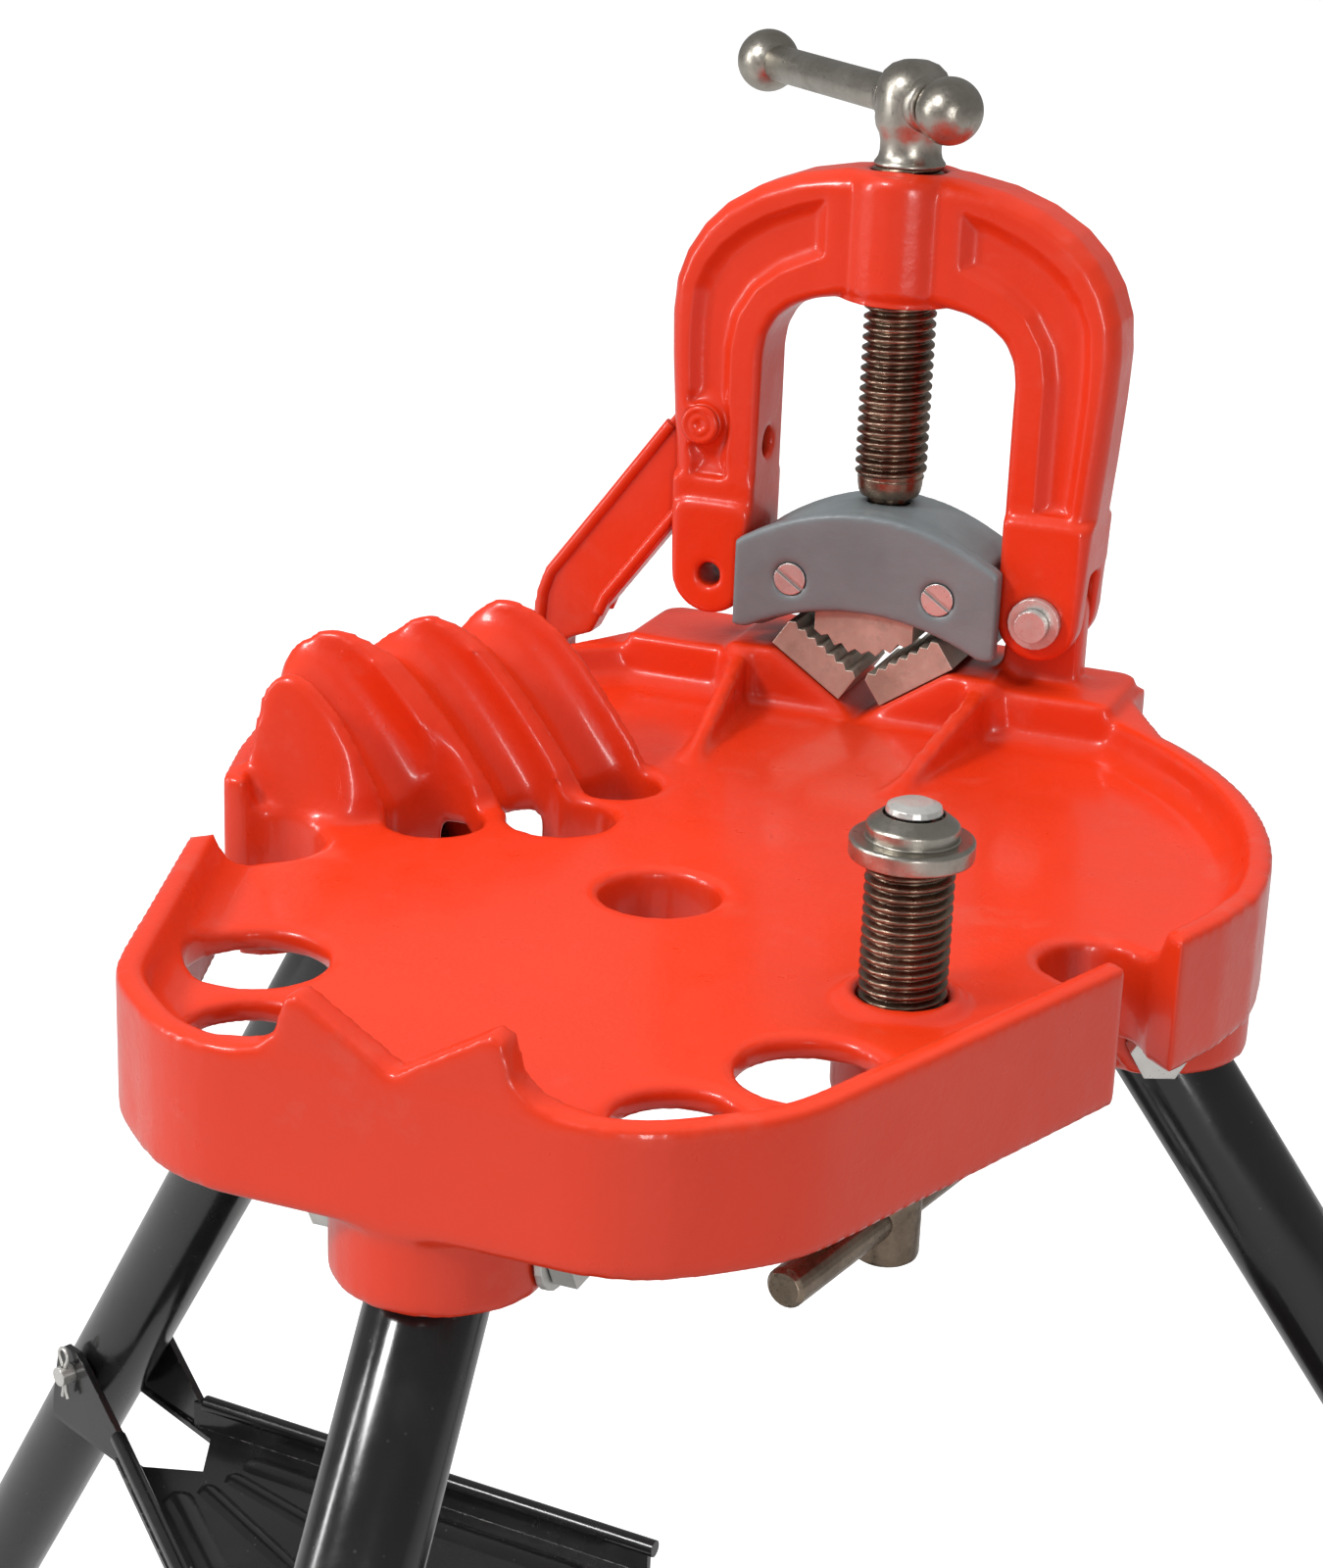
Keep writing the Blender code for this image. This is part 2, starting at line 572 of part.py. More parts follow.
def clamp_screw():
    """Screw with its swivel tip, and the forged head that the handle slides through."""
    profile = [(6.8, SADDLE_TOP - 7.0), (6.8, SADDLE_TOP + 1.6), (10.8, SADDLE_TOP + 1.6),
               (SCREW_R, SADDLE_TOP + 4.0), (SCREW_R, 190.5)]
    profile += [(radius, HEAD_Z + lift) for radius, lift in HEAD_PROFILE]
    turn = Matrix.Rotation(HANDLE_TURN + math.pi / 2, 4, "Z")
    bore = moved(rod("x", (0, HEAD_Z), HANDLE_R + 0.15, -30, 30, 28), turn)
    return cut(lathe(profile, 28), bore)


# --- brace --------------------------------------------------------------------------------------
def brace_screw():
    profile = [(8.6, -80.0), (9.6, -78.0), (9.6, -56.0), (7.9, -52.0), (7.9, -34.0), (SCREW_R, -30.0),
               (SCREW_R, 42.4), (5.0, 42.4), (5.0, 53.0)]
    bar = rod("x", (0, BRACE_BAR_Z), BRACE_BAR_R + 0.15, -30, 30, 24)
    return cut(lathe(profile), moved(bar, Matrix.Rotation(BRACE_TURN, 4, "Z")))


def brace_cap():
    profile = [(13.0, 42.9), (17.4, 43.6), (17.6, 49.0), (16.6, 50.5), (13.2, 50.8), (12.8, 54.0), (10.8, 56.0)]
    return cut(lathe(profile), rod("z", (0, 0), 5.2, 30, 80, 24))


# --- legs and tray ------------------------------------------------------------------------------
def leg_tube():
    """Leg in the frame of its pivot, hanging straight down before it is splayed."""
    tube = rod("z", (0, 0), TUBE_R, -LEG_LENGTH, 16.0, 28)
    bore = rod("z", (0, 0), TUBE_R - TUBE_WALL, -LEG_LENGTH - 5, 20.0, 20)
    return cut(tube, bore, rod("y", (0, 0), 6.5, -40, 40, 24), rod("y", (0, -PIN_DROP), 4.2, -40, 40, 20))


def foot():
    """Cap on the tube's end with a sole that lies flat while the leg is splayed."""
    body = join(rod("z", (0, 0), TUBE_R + 4.0, -LEG_LENGTH - 34.0, -LEG_LENGTH + 36.0, 28))
    body = cut(body, rod("z", (0, 0), TUBE_R + 0.3, -LEG_LENGTH - 0.4, -LEG_LENGTH + 50.0, 28))
    sole = box((-90, 90), (-60, 60), (-120.0, 0.0))
    place = Matrix.Translation((0, 0, -LEG_LENGTH - 16.0)) @ Matrix.Rotation(LEG_SPLAY, 4, "Y")
    return cut(body, moved(sole, place))


def pivot_bolt():
    head = rod("y", (0, 0), 9.5, -38.5, -30.4, 6)
    shank = rod("y", (0, 0), 6.3, -31.0, 41.5, 24)
    return join(head, shank)


def ring(outer, inner, low, high, sides=20):
    return cut(rod("y", (0, 0), outer, low, high, sides), rod("y", (0, 0), inner, low - 5, high + 5, 20))


def leaf_outline():
    reach = LEGS["right"][1] + PIN_DROP * math.sin(LEG_SPLAY)
    tip = reach - LEAF_GAP
    flare = math.tan(math.radians(20.5))
    wide = (tip * math.sqrt(3) - 21.4 + 30 * flare) / (flare + math.sqrt(3))
    half = 19.4 + (wide - 30) * flare
    return half, wide, tip


def leaf():
    """Stamped tray leaf: clevis ears at the leg, raised edges and a floor that widens inwards.

    The frame is its pin's: x outwards, y along the pin, so the leaf runs to -x.
    """
    half, wide, tip = leaf_outline()
    floor = -LEAF_DEPTH
    plate = [(14, 21.0), (-30, 21.0), (-wide, half), (-tip + 4, 5)]
    outline = plate + [(x, -y) for x, y in reversed(plate)]
    body = prism(outline, "z", floor - LEAF_T, floor)
    for side in (-1, 1):
        a, b = Vector((-30, 20.4)), Vector((-wide, half - 0.6))
        along = (b - a).normalized()
        across = Vector((-along.y, along.x)) * 3.1
        wall = [a, b - along * 4, b - along * 4 + across, a + across]
        wall = [(p.x, side * p.y) for p in wall]
        body = join(body, prism(wall, "z", floor - LEAF_T + 0.5, floor + 11.0))
        ear = [(15, floor - 1), (14, floor + 8), (9, 7), (4, 10.5), (-4, 10.5), (-10, 7), (-34, floor + 11),
               (-34, floor - 1)]
        ear = prism(ear, "y", 18.6, 21.4)
        if side < 0:
            ear = moved(ear, Matrix.Translation((0, -40.0, 0)))
        body = join(body, ear)
    opening = prism([(40, 18.5), (-44, 16.5), (-62, 0), (-44, -16.5), (40, -18.5)], "z", -60, floor + 3)
    pin = rod("y", (0, 0), 4.2, -40, 40, 20)
    holes = [rod("z", (-120, side * 38), 7.5, -60, 0, 24) for side in (-1, 1)]
    return cut(body, opening, pin, *holes)


def tray_pin():
    body = join(rod("y", (0, 0), 4.0, -22.0, 27.5, 20), rod("y", (0, 0), 6.5, -24.0, -21.8, 24))
    return cut(body, rod("z", (0, 24.6), 1.5, -10, 10, 12))


def cotter():
    body = join(rod("z", (0, 24.6), 1.2, -11.0, 6.0, 12), shifted(ring(4.4, 2.6, 23.6, 25.6, 24), z=9.0))
    return body


def plate():
    """Centre plate that carries the leaves' inner ends."""
    top = -LEAF_DEPTH - LEAF_T - 0.5
    disc = lathe([(PLATE_R - 1, top - 4), (PLATE_R, top - 3.0), (PLATE_R, top - 0.6), (PLATE_R - 1, top)])
    return cut(disc, rod("z", (0, 0), 9.0, -80, 40, 28))


# --- assembly -------------------------------------------------------------------------------------
def build_vise(stand):
    hinge = empty("yoke_hinge", stand, (HINGE_X, YOKE_Y, HINGE_Z))
    at_hinge = (HINGE_X, YOKE_Y, HINGE_Z)
    part("yoke", yoke(), "red_enamel", hinge, at_hinge)
    pin = join(rod("y", (0, 0), 4.5, YOKE_Y - 22.0, YOKE_Y + 27.0, 24),
               rod("y", (0, 0), 5.6, YOKE_Y - 24.5, YOKE_Y - 20.7, 24))
    pin = cut(shifted(pin, HINGE_X, 0, HINGE_Z), rod("z", (HINGE_X, YOKE_Y + 22.0), 1.5, 30, 60, 12))
    part("hinge_pin", pin, "zinc", stand, at_hinge, at_hinge)
    washer = shifted(ring(9.0, 4.8, YOKE_Y - 20.3, YOKE_Y - 17.4), HINGE_X, 0, HINGE_Z)
    part("hinge_washer", washer, "zinc", stand, at_hinge, at_hinge)
    split = shifted(rod("z", (0, 0), 1.2, -9.0, 9.0, 12), HINGE_X, YOKE_Y + 22.0, HINGE_Z)
    part("hinge_cotter", split, "zinc", stand, at_hinge, at_hinge)

    latch = (HOOK_PIN[0], YOKE_Y, HOOK_PIN[1])
    hook_axis = empty("hook_axis", hinge, Vector(latch) - Vector(at_hinge))
    part("hook", hook(), "red_enamel", hook_axis, latch)
    part("hook_pin", rod("y", HOOK_PIN, 4.0, YOKE_Y - 11.6, YOKE_Y + 15.5, 24), "zinc", hinge, latch,
         Vector(latch) - Vector(at_hinge))

    slide_at = (0.0, YOKE_Y, SADDLE_TOP)
    carrier = empty("jaw_slide", hinge, Vector(slide_at) - Vector(at_hinge))
    part("jaw_saddle", saddle(), "grey_paint", carrier, slide_at)
    part("upper_jaw", upper_jaw(), "jaw_steel", carrier, slide_at)
    for name, side in (("left", -1), ("right", 1)):
        screw = shifted(slotted_screw(), side * 27.0, 0.0, 48.0)
        part(f"saddle_screw_{name}", screw, "zinc", carrier, slide_at)
        part(f"lower_jaw_{name}", lower_jaw(side), "jaw_steel", stand)
    part("clamp_screw", clamp_screw(), "oiled_steel", carrier, (0, 0, SADDLE_TOP))

    head = empty("handle_axis", carrier, (0, 0, HEAD_Z - SADDLE_TOP), HANDLE_TURN)
    near = 24.6
    far = HANDLE_SPAN - near
    bar = rod("y", (0, 0), HANDLE_R, -near + BALL_R * 0.72, far - BALL_R * 0.72, 28)
    part("handle_bar", bar, "forged_steel", head)
    for name, place in (("near", -near), ("far", far)):
        ball = bmesh.new()
        bmesh.ops.create_uvsphere(ball, u_segments=20, v_segments=12, radius=BALL_R)
        ball = shifted(ball, y=place)
        keep = place - math.copysign(BALL_R * 0.68, place)
        socket = rod("y", (0, 0), HANDLE_R + 0.3, *sorted((keep, 0.0)))
        part(f"handle_ball_{name}", cut(ball, socket), "forged_steel", head)


def build_brace(stand):
    axis = empty("brace_axis", stand, (BRACE_X, BRACE_Y, 0))
    part("brace_screw", brace_screw(), "oiled_steel", axis)
    part("brace_cap", brace_cap(), "forged_steel", axis)
    rivet = lathe([(8.0, 56.3), (7.6, 58.0), (5.0, 59.2), (0, 59.6)])
    rivet = join(rivet, rod("z", (0, 0), 4.9, 53.4, 57.0, 24))
    part("brace_rivet", rivet, "zinc", axis)
    bar_axis = empty("brace_bar_axis", axis, (0, 0, BRACE_BAR_Z), BRACE_TURN)
    bar = moved(lathe([(4.8, -50.0), (BRACE_BAR_R, -48.6), (BRACE_BAR_R, 56.6), (4.8, 58.0)], 24),
                Matrix.Rotation(math.pi / 2, 4, "Y"))
    part("brace_bar", bar, "oiled_steel", bar_axis)


def build_leg(stand, name):
    azimuth, reach = LEGS[name]
    matrix = leg_frame(name)
    pivot = empty(f"{name}_leg_pivot", stand, matrix.translation, math.radians(azimuth))
    part(f"{name}_leg", leg_tube(), "black_enamel", pivot, tilt=-LEG_SPLAY)
    part(f"{name}_foot", foot(), "foot_iron", pivot, tilt=-LEG_SPLAY)
    part(f"{name}_leg_bolt", pivot_bolt(), "zinc", pivot)
    part(f"{name}_leg_washer", ring(12.5, 6.7, 30.4, 32.6), "zinc", pivot)
    nut = cut(rod("y", (0, 0), 10.4, 33.0, 40.0, 6), rod("y", (0, 0), 6.6, 20, 50, 24))
    part(f"{name}_leg_nut", nut, "zinc", pivot)
    drop = (PIN_DROP * math.sin(LEG_SPLAY), 0, -PIN_DROP * math.cos(LEG_SPLAY))
    pin = empty(f"{name}_tray_pivot", pivot, drop)
    inward = leaf()
    if name == "front":
        shift = LEGS["front"][1] - LEGS["right"][1]
        for vert in inward.verts:
            vert.co.x -= shift * min(1.0, max(0.0, (-vert.co.x - 70.0) / 120.0))
    part(f"{name}_tray_leaf", inward, "black_enamel", pin)
    part(f"{name}_tray_pin", tray_pin(), "zinc", pin)
    part(f"{name}_tray_cotter", cotter(), "zinc", pin)


def stand_on_ground(stand):
    """Lift the stand onto its feet and centre its footprint on the origin."""
    bpy.context.view_layer.update()
    low, high = Vector((9, 9, 9)), Vector((-9, -9, -9))
    for thing in bpy.context.scene.objects:
        if thing.type != "MESH":
            continue
        for corner in thing.data.vertices:
            place = thing.matrix_world @ corner.co
            low = Vector(map(min, low, place))
            high = Vector(map(max, high, place))
    stand.location = (-(low.x + high.x) / 2, -(low.y + high.y) / 2, -low.z)


def main():
    for thing in list(bpy.data.objects):
        bpy.data.objects.remove(thing)
    stand = empty("stand", None, (0, 0, 0))
    part("base_casting", base_casting(), "red_enamel", stand)
    build_vise(stand)
    build_brace(stand)
    for name in LEGS:
        build_leg(stand, name)
    drop = PIVOT_Z - PIN_DROP * math.cos(LEG_SPLAY)
    part("tray_plate", plate(), "black_enamel", empty("plate_slide", stand, (0, STAND_CENTRE_Y, drop)))
    stand_on_ground(stand)


main()
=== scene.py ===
"""Looks of the tripod pipe vise stand: enamel, threads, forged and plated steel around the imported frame."""
import json
import math

import bmesh
import bpy
import numpy as np
from mathutils import Matrix, Vector


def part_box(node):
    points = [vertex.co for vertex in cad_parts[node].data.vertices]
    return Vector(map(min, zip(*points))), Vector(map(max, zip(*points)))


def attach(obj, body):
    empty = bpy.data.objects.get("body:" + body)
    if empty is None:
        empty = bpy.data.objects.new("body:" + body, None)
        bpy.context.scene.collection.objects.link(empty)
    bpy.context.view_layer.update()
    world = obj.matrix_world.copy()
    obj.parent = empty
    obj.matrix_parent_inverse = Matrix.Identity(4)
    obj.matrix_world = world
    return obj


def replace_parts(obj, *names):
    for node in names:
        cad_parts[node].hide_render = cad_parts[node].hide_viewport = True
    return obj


MM = 0.001
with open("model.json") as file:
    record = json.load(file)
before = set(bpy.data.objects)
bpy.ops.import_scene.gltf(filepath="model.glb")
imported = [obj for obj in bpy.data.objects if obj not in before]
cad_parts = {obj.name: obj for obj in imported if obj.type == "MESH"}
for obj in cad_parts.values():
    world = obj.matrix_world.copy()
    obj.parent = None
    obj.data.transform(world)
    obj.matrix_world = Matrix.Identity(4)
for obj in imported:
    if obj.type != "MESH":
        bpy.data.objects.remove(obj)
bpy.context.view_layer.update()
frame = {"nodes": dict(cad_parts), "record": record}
NODES = frame["nodes"]
JOINTS = {joint["name"]: joint for joint in frame["record"]["behaviour"]["joints"]}

HINGE_PLACE = (60.5, 207.0, 43.0)          # the yoke's hinge in the tray's own millimetres
ORIGIN = Vector(JOINTS["yoke_swing"]["pos_m"]) - Vector(HINGE_PLACE) * MM
CLAMP_PITCH = 3.63 * MM
BRACE_PITCH = 3.175 * MM
THREAD_R = 12.6 * MM                       # crest radius of both screws
CLAMP_THREAD_DEPTH, BRACE_THREAD_DEPTH = 2.0 * MM, 1.8 * MM
LEG_TUBE_R, LEG_REACH = 16.7, 689.6        # leg tube: radius and length from its pivot, in mm
BALL_R, BALL_LOW, BALL_HIGH = 11.3, -62.0, 68.0     # handle ball: radius, and its arc in degrees
METAL_EDGE = 0.0006                        # rounding of bare metal's edges in its shading, in metres
LEGS = ("front", "right", "left")


# --- node material helpers ----------------------------------------------------------------------
class Shade:
    """A Principled material and short calls that add nodes to it."""

    def __init__(self, name):
        self.material = bpy.data.materials.new(name)
        self.material.use_nodes = True
        self.tree = self.material.node_tree
        self.shader = self.tree.nodes["Principled BSDF"]
        self.coords = self.add("ShaderNodeTexCoord").outputs["Object"]

    def add(self, kind, **values):
        node = self.tree.nodes.new(kind)
        for key, value in values.items():
            setattr(node, key, value)
        return node

    def link(self, source, target):
        self.tree.links.new(source, target)

    def put(self, target, value):
        if isinstance(value, (int, float, tuple)):
            target.default_value = value
        else:
            self.link(value, target)

    def noise(self, scale, detail=3.0, rough=0.55, stretch=(1, 1, 1)):
        mapping = self.add("ShaderNodeMapping")
        mapping.inputs["Scale"].default_value = stretch
        self.link(self.coords, mapping.inputs["Vector"])
        node = self.add("ShaderNodeTexNoise")
        self.link(mapping.outputs["Vector"], node.inputs["Vector"])
        node.inputs["Scale"].default_value = scale
        node.inputs["Detail"].default_value = detail
        node.inputs["Roughness"].default_value = rough
        return node.outputs["Fac"]

    def spots(self, scale):
        node = self.add("ShaderNodeTexVoronoi")
        self.link(self.coords, node.inputs["Vector"])
        node.inputs["Scale"].default_value = scale
        node.inputs["Randomness"].default_value = 1.0
        return node.outputs["Distance"]

    def span(self, value, low, high, start=0.0, end=1.0):
        node = self.add("ShaderNodeMapRange")
        self.link(value, node.inputs["Value"])
        node.inputs["From Min"].default_value = low
        node.inputs["From Max"].default_value = high
        node.inputs["To Min"].default_value = start
        node.inputs["To Max"].default_value = end
        return node.outputs["Result"]

    def math(self, operation, a, b=0.0):
        node = self.add("ShaderNodeMath", operation=operation)
        self.put(node.inputs[0], a)
        self.put(node.inputs[1], b)
        return node.outputs[0]

    def mix(self, factor, a, b):
        node = self.add("ShaderNodeMix", data_type="RGBA")
        self.put(node.inputs["Factor"], factor)
        self.put(node.inputs["A"], a if not isinstance(a, tuple) else (*a, 1.0))
        self.put(node.inputs["B"], b if not isinstance(b, tuple) else (*b, 1.0))
        return node.outputs["Result"]

    def bump(self, height, strength, distance, normal=None):
        node = self.add("ShaderNodeBump")
        self.link(height, node.inputs["Height"])
        node.inputs["Strength"].default_value = strength
        node.inputs["Distance"].default_value = distance
        if normal is not None:
            self.link(normal, node.inputs["Normal"])
        return node.outputs["Normal"]

    def rounding(self, radius):
        node = self.add("ShaderNodeBevel", samples=6)
        node.inputs["Radius"].default_value = radius
        return node.outputs["Normal"]

    def edges(self, radius):
        """1 on sharp outer and inner edges, 0 on flats."""
        geometry = self.add("ShaderNodeNewGeometry")
        dot = self.add("ShaderNodeVectorMath", operation="DOT_PRODUCT")
        self.link(geometry.outputs["Normal"], dot.inputs[0])
        self.link(self.rounding(radius), dot.inputs[1])
        return self.span(dot.outputs["Value"], 0.995, 0.86)

    def painted_recess_shade(self, distance):
        """Mask for painted shade: 1 in corners and under overhangs, 0 in the open."""
        node = self.add("ShaderNodeAmbientOcclusion", samples=8)
        node.inputs["Distance"].default_value = distance
        return self.span(node.outputs["AO"], 0.75, 0.25)

    def set(self, **values):
        for key, value in values.items():
            name = key.replace("_", " ")
            if isinstance(value, tuple):
                value = (*value, 1.0)
            self.put(self.shader.inputs[name], value)
        return self.material


# --- materials ------------------------------------------------------------------------------------
def red_enamel():
    s = Shade("red_enamel")
    drift = s.noise(7.0, 4.0)
    cast = s.noise(95.0, 5.0, 0.6)
    peel = s.noise(430.0, 3.0, 0.5)
    fine = s.spots(900.0)
    body = s.mix(s.span(drift, 0.3, 0.7), (0.72, 0.036, 0.006), (0.64, 0.029, 0.005))
    # painted shade: the red is darkened in corners and recesses
    body = s.mix(s.math("MULTIPLY", s.painted_recess_shade(0.012), 0.55), body, (0.22, 0.005, 0.002))
    # lighter red in patches along edges: partly wear, partly a painted highlight
    wear_and_painted_highlight = s.math("MULTIPLY", s.edges(0.0016), s.span(cast, 0.45, 0.62))
    body = s.mix(s.math("MULTIPLY", wear_and_painted_highlight, 0.45), body, (0.72, 0.09, 0.045))
    dust = s.math("MULTIPLY", s.span(s.noise(28.0, 8.0, 0.7), 0.58, 0.80), 0.12)
    body = s.mix(dust, body, (0.55, 0.35, 0.28))
    rough = s.span(s.noise(60.0, 4.0), 0.3, 0.7, 0.26, 0.44)
    normal = s.bump(cast, 0.22, 0.0011, s.rounding(0.0012))
    normal = s.bump(peel, 0.20, 0.0005, normal)
    normal = s.bump(fine, 0.08, 0.0002, normal)
    s.link(normal, s.shader.inputs["Normal"])
    return s.set(Base_Color=body, Roughness=rough, Specular_IOR_Level=0.35, Coat_Weight=0.40,
                 Coat_Roughness=0.13)


def grey_paint():
    s = Shade("grey_paint")
    cast = s.noise(120.0, 5.0, 0.6)
    peel = s.noise(520.0, 3.0)
    body = s.mix(s.span(s.noise(30.0, 4.0), 0.3, 0.7), (0.185, 0.222, 0.232), (0.140, 0.170, 0.178))
    # painted shade: the grey is darkened in corners and recesses
    body = s.mix(s.math("MULTIPLY", s.painted_recess_shade(0.006), 0.6), body, (0.04, 0.045, 0.05))
    chips = s.math("MULTIPLY", s.edges(0.0012), s.span(s.noise(210.0, 5.0), 0.50, 0.60))
    body = s.mix(s.math("MULTIPLY", chips, 0.7), body, (0.42, 0.43, 0.43))
    normal = s.bump(cast, 0.25, 0.0008, s.rounding(0.0012))
    normal = s.bump(peel, 0.22, 0.0004, normal)
    s.link(normal, s.shader.inputs["Normal"])
    rough = s.span(s.noise(75.0, 4.0), 0.3, 0.7, 0.33, 0.52)
    return s.set(Base_Color=body, Roughness=rough, Coat_Weight=0.2, Coat_Roughness=0.3)


def black_enamel():
    s = Shade("black_enamel")
    streak = s.noise(26.0, 6.0, 0.62, (1.0, 1.0, 0.25))
    dust = s.math("MULTIPLY", s.span(streak, 0.54, 0.80), 0.10)
    specks = s.math("MULTIPLY", s.span(s.spots(160.0), 0.10, 0.04), 0.22)
    body = s.mix(s.span(s.noise(14.0, 4.0), 0.3, 0.7), (0.0055, 0.0055, 0.006), (0.011, 0.011, 0.011))
    body = s.mix(dust, body, (0.12, 0.115, 0.105))
    body = s.mix(specks, body, (0.16, 0.15, 0.14))
    bare = s.math("MULTIPLY", s.edges(0.0007), s.span(s.noise(190.0, 4.0), 0.52, 0.62))
    body = s.mix(s.math("MULTIPLY", bare, 0.6), body, (0.22, 0.21, 0.20))
    rough = s.span(s.noise(45.0, 6.0, 0.65, (1.0, 1.0, 0.4)), 0.3, 0.75, 0.13, 0.34)
    normal = s.bump(s.noise(300.0, 3.0), 0.10, 0.0004, s.rounding(0.0008))
    s.link(normal, s.shader.inputs["Normal"])
    return s.set(Base_Color=body, Roughness=rough, Coat_Weight=0.3, Coat_Roughness=0.12)


def metal(name, light, dark, roughness, grain=(1, 1, 1), stain=0.35, pit=0.3, metallic=1.0):
    """Bare or plated metal: two tones, scratches along the grain, painted shade in corners and painted
    highlights on edges.
    """
    s = Shade(name)
    cloud = s.noise(48.0, 6.0, 0.65)
    lines = s.noise(650.0, 4.0, 0.7, grain)
    body = s.mix(s.span(cloud, 0.32, 0.68), light, dark)
    # painted shade: darker metal in corners and recesses
    body = s.mix(s.math("MULTIPLY", s.painted_recess_shade(0.004), 0.75), body, tuple(c * 0.18 for c in dark))
    oil = s.math("MULTIPLY", s.span(s.noise(110.0, 5.0, 0.7), 0.55, 0.72), stain)
    body = s.mix(oil, body, tuple(c * 0.35 for c in dark))
    # painted highlight: a lighter tone along all edges
    painted_edge_highlight = s.math("MULTIPLY", s.edges(METAL_EDGE), 0.5)
    body = s.mix(painted_edge_highlight, body, tuple(min(0.9, c * 1.5) for c in light))
    rough = s.math("ADD", s.span(lines, 0.3, 0.7, roughness - 0.09, roughness + 0.09),
                   s.math("MULTIPLY", oil, 0.25))
    normal = s.bump(lines, pit, 0.00012, s.rounding(METAL_EDGE))
    normal = s.bump(s.noise(170.0, 5.0), pit, 0.0004, normal)
    s.link(normal, s.shader.inputs["Normal"])
    return s.set(Base_Color=body, Roughness=rough, Metallic=metallic)


MATERIALS = {
    "red_enamel": red_enamel(),
    "grey_paint": grey_paint(),
    "black_enamel": black_enamel(),
    "oiled_steel": metal("oiled_steel", (0.36, 0.28, 0.21), (0.16, 0.115, 0.083), 0.31, stain=0.5),
    "forged_steel": metal("forged_steel", (0.55, 0.52, 0.46), (0.36, 0.33, 0.28), 0.34, pit=0.4),
    "jaw_steel": metal("jaw_steel", (0.60, 0.53, 0.45), (0.38, 0.33, 0.27), 0.42, (1, 6, 1), 0.4,
                       metallic=0.55),
    "zinc": metal("zinc", (0.76, 0.75, 0.71), (0.60, 0.59, 0.56), 0.34, stain=0.2, pit=0.25, metallic=0.7),
    "foot_iron": metal("foot_iron", (0.05, 0.05, 0.05), (0.025, 0.025, 0.025), 0.6, stain=0.3, pit=0.5),
}


def paint(obj, slot):
    obj.data.materials.clear()
    obj.data.materials.append(MATERIALS[slot])


# --- mesh helpers -----------------------------------------------------------------------------------
def new_piece(name, bm, slot, body, smooth_angle=35.0):
    """Object from a bmesh, smooth but for its sharp edges, with its slot and its body declared."""
    mesh = bpy.data.meshes.new(name)
    bmesh.ops.recalc_face_normals(bm, faces=bm.faces)
    bm.to_mesh(mesh)
    bm.free()
    for face in mesh.polygons:
        face.use_smooth = True
    mesh.set_sharp_from_angle(angle=math.radians(smooth_angle))
    made = bpy.data.objects.new(name, mesh)
    bpy.context.scene.collection.objects.link(made)
    paint(made, slot)
    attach(made, body)
    return made


def axis_matrix(origin, along):
    """Matrix whose Z runs along a direction from an origin."""
    turn = Vector((0, 0, 1)).rotation_difference(Vector(along).normalized())
    return Matrix.Translation(Vector(origin)) @ turn.to_matrix().to_4x4()


def turned(profile, matrix, sides=64):
    """Turned solid with closed ends from (radius, height) points in metres, placed by a matrix."""
    bm = bmesh.new()
    rings = []
    for radius, height in profile:
        ring = []
        for i in range(sides):
            t = math.tau * i / sides
            ring.append(bm.verts.new((radius * math.cos(t), radius * math.sin(t), height)))
        rings.append(ring)
    for low, high in zip(rings, rings[1:]):
        for i in range(sides):
            j = (i + 1) % sides
            bm.faces.new((low[i], low[j], high[j], high[i]))
    bm.faces.new(rings[0])
    bm.faces.new(rings[-1])
    bmesh.ops.transform(bm, matrix=matrix, verts=bm.verts)
    return bm


THREAD_SIDES, THREAD_STEPS, THREAD_RUN_OUT = 56, 12, 2.5
CREST_START, CREST_RISE = 0.14, 0.66       # shares of half a pitch: the flat root, then the flank


def threaded(radius, depth, pitch, low, high, matrix):
    """Right-hand screw thread with a narrow rounded crest; it fades out at both ends."""
    bm = bmesh.new()
    sides = THREAD_SIDES
    rows = int((high - low) / pitch * THREAD_STEPS) + 1
    rings = []
    for row in range(rows + 1):
        height = low + (high - low) * row / rows
        ends = min(height - low, high - height) / (THREAD_RUN_OUT * MM)
        fade = max(0.0, min(1.0, ends))
        ring = []
        for i in range(sides):
            t = math.tau * i / sides
            wave = abs(((height / pitch - i / sides) % 1.0) * 2 - 1)
            crest = min(1.0, max(0.0, (wave - CREST_START) / CREST_RISE))
            r = radius - depth * (1.0 - crest) * fade - depth * 0.5 * (1.0 - fade)
            ring.append(bm.verts.new((r * math.cos(t), r * math.sin(t), height)))
        rings.append(ring)
    for lower, upper in zip(rings, rings[1:]):
        for i in range(sides):
            j = (i + 1) % sides
            bm.faces.new((lower[i], lower[j], upper[j], upper[i]))
    bm.faces.new(rings[0])
    bm.faces.new(rings[-1])
    bmesh.ops.transform(bm, matrix=matrix, verts=bm.verts)
    return bm


def middle(node):
    """Centre of a node's box, in metres."""
    low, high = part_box(node)
    return [(a + b) / 2 for a, b in zip(low, high)]


# --- cast pieces ------------------------------------------------------------------------------------
def cast_look(node, voxel, smoothing):
    """Softens a casting's edges and corners into fillets with modifiers; its own mesh stays as it is."""
    obj = NODES[node]
    remesh = obj.modifiers.new("cast_skin", "REMESH")
    remesh.mode = "VOXEL"
    remesh.voxel_size = voxel * MM
    remesh.use_smooth_shade = True
    soften = obj.modifiers.new("cast_fillets", "SMOOTH")
    soften.factor = 0.5
    soften.iterations = smoothing


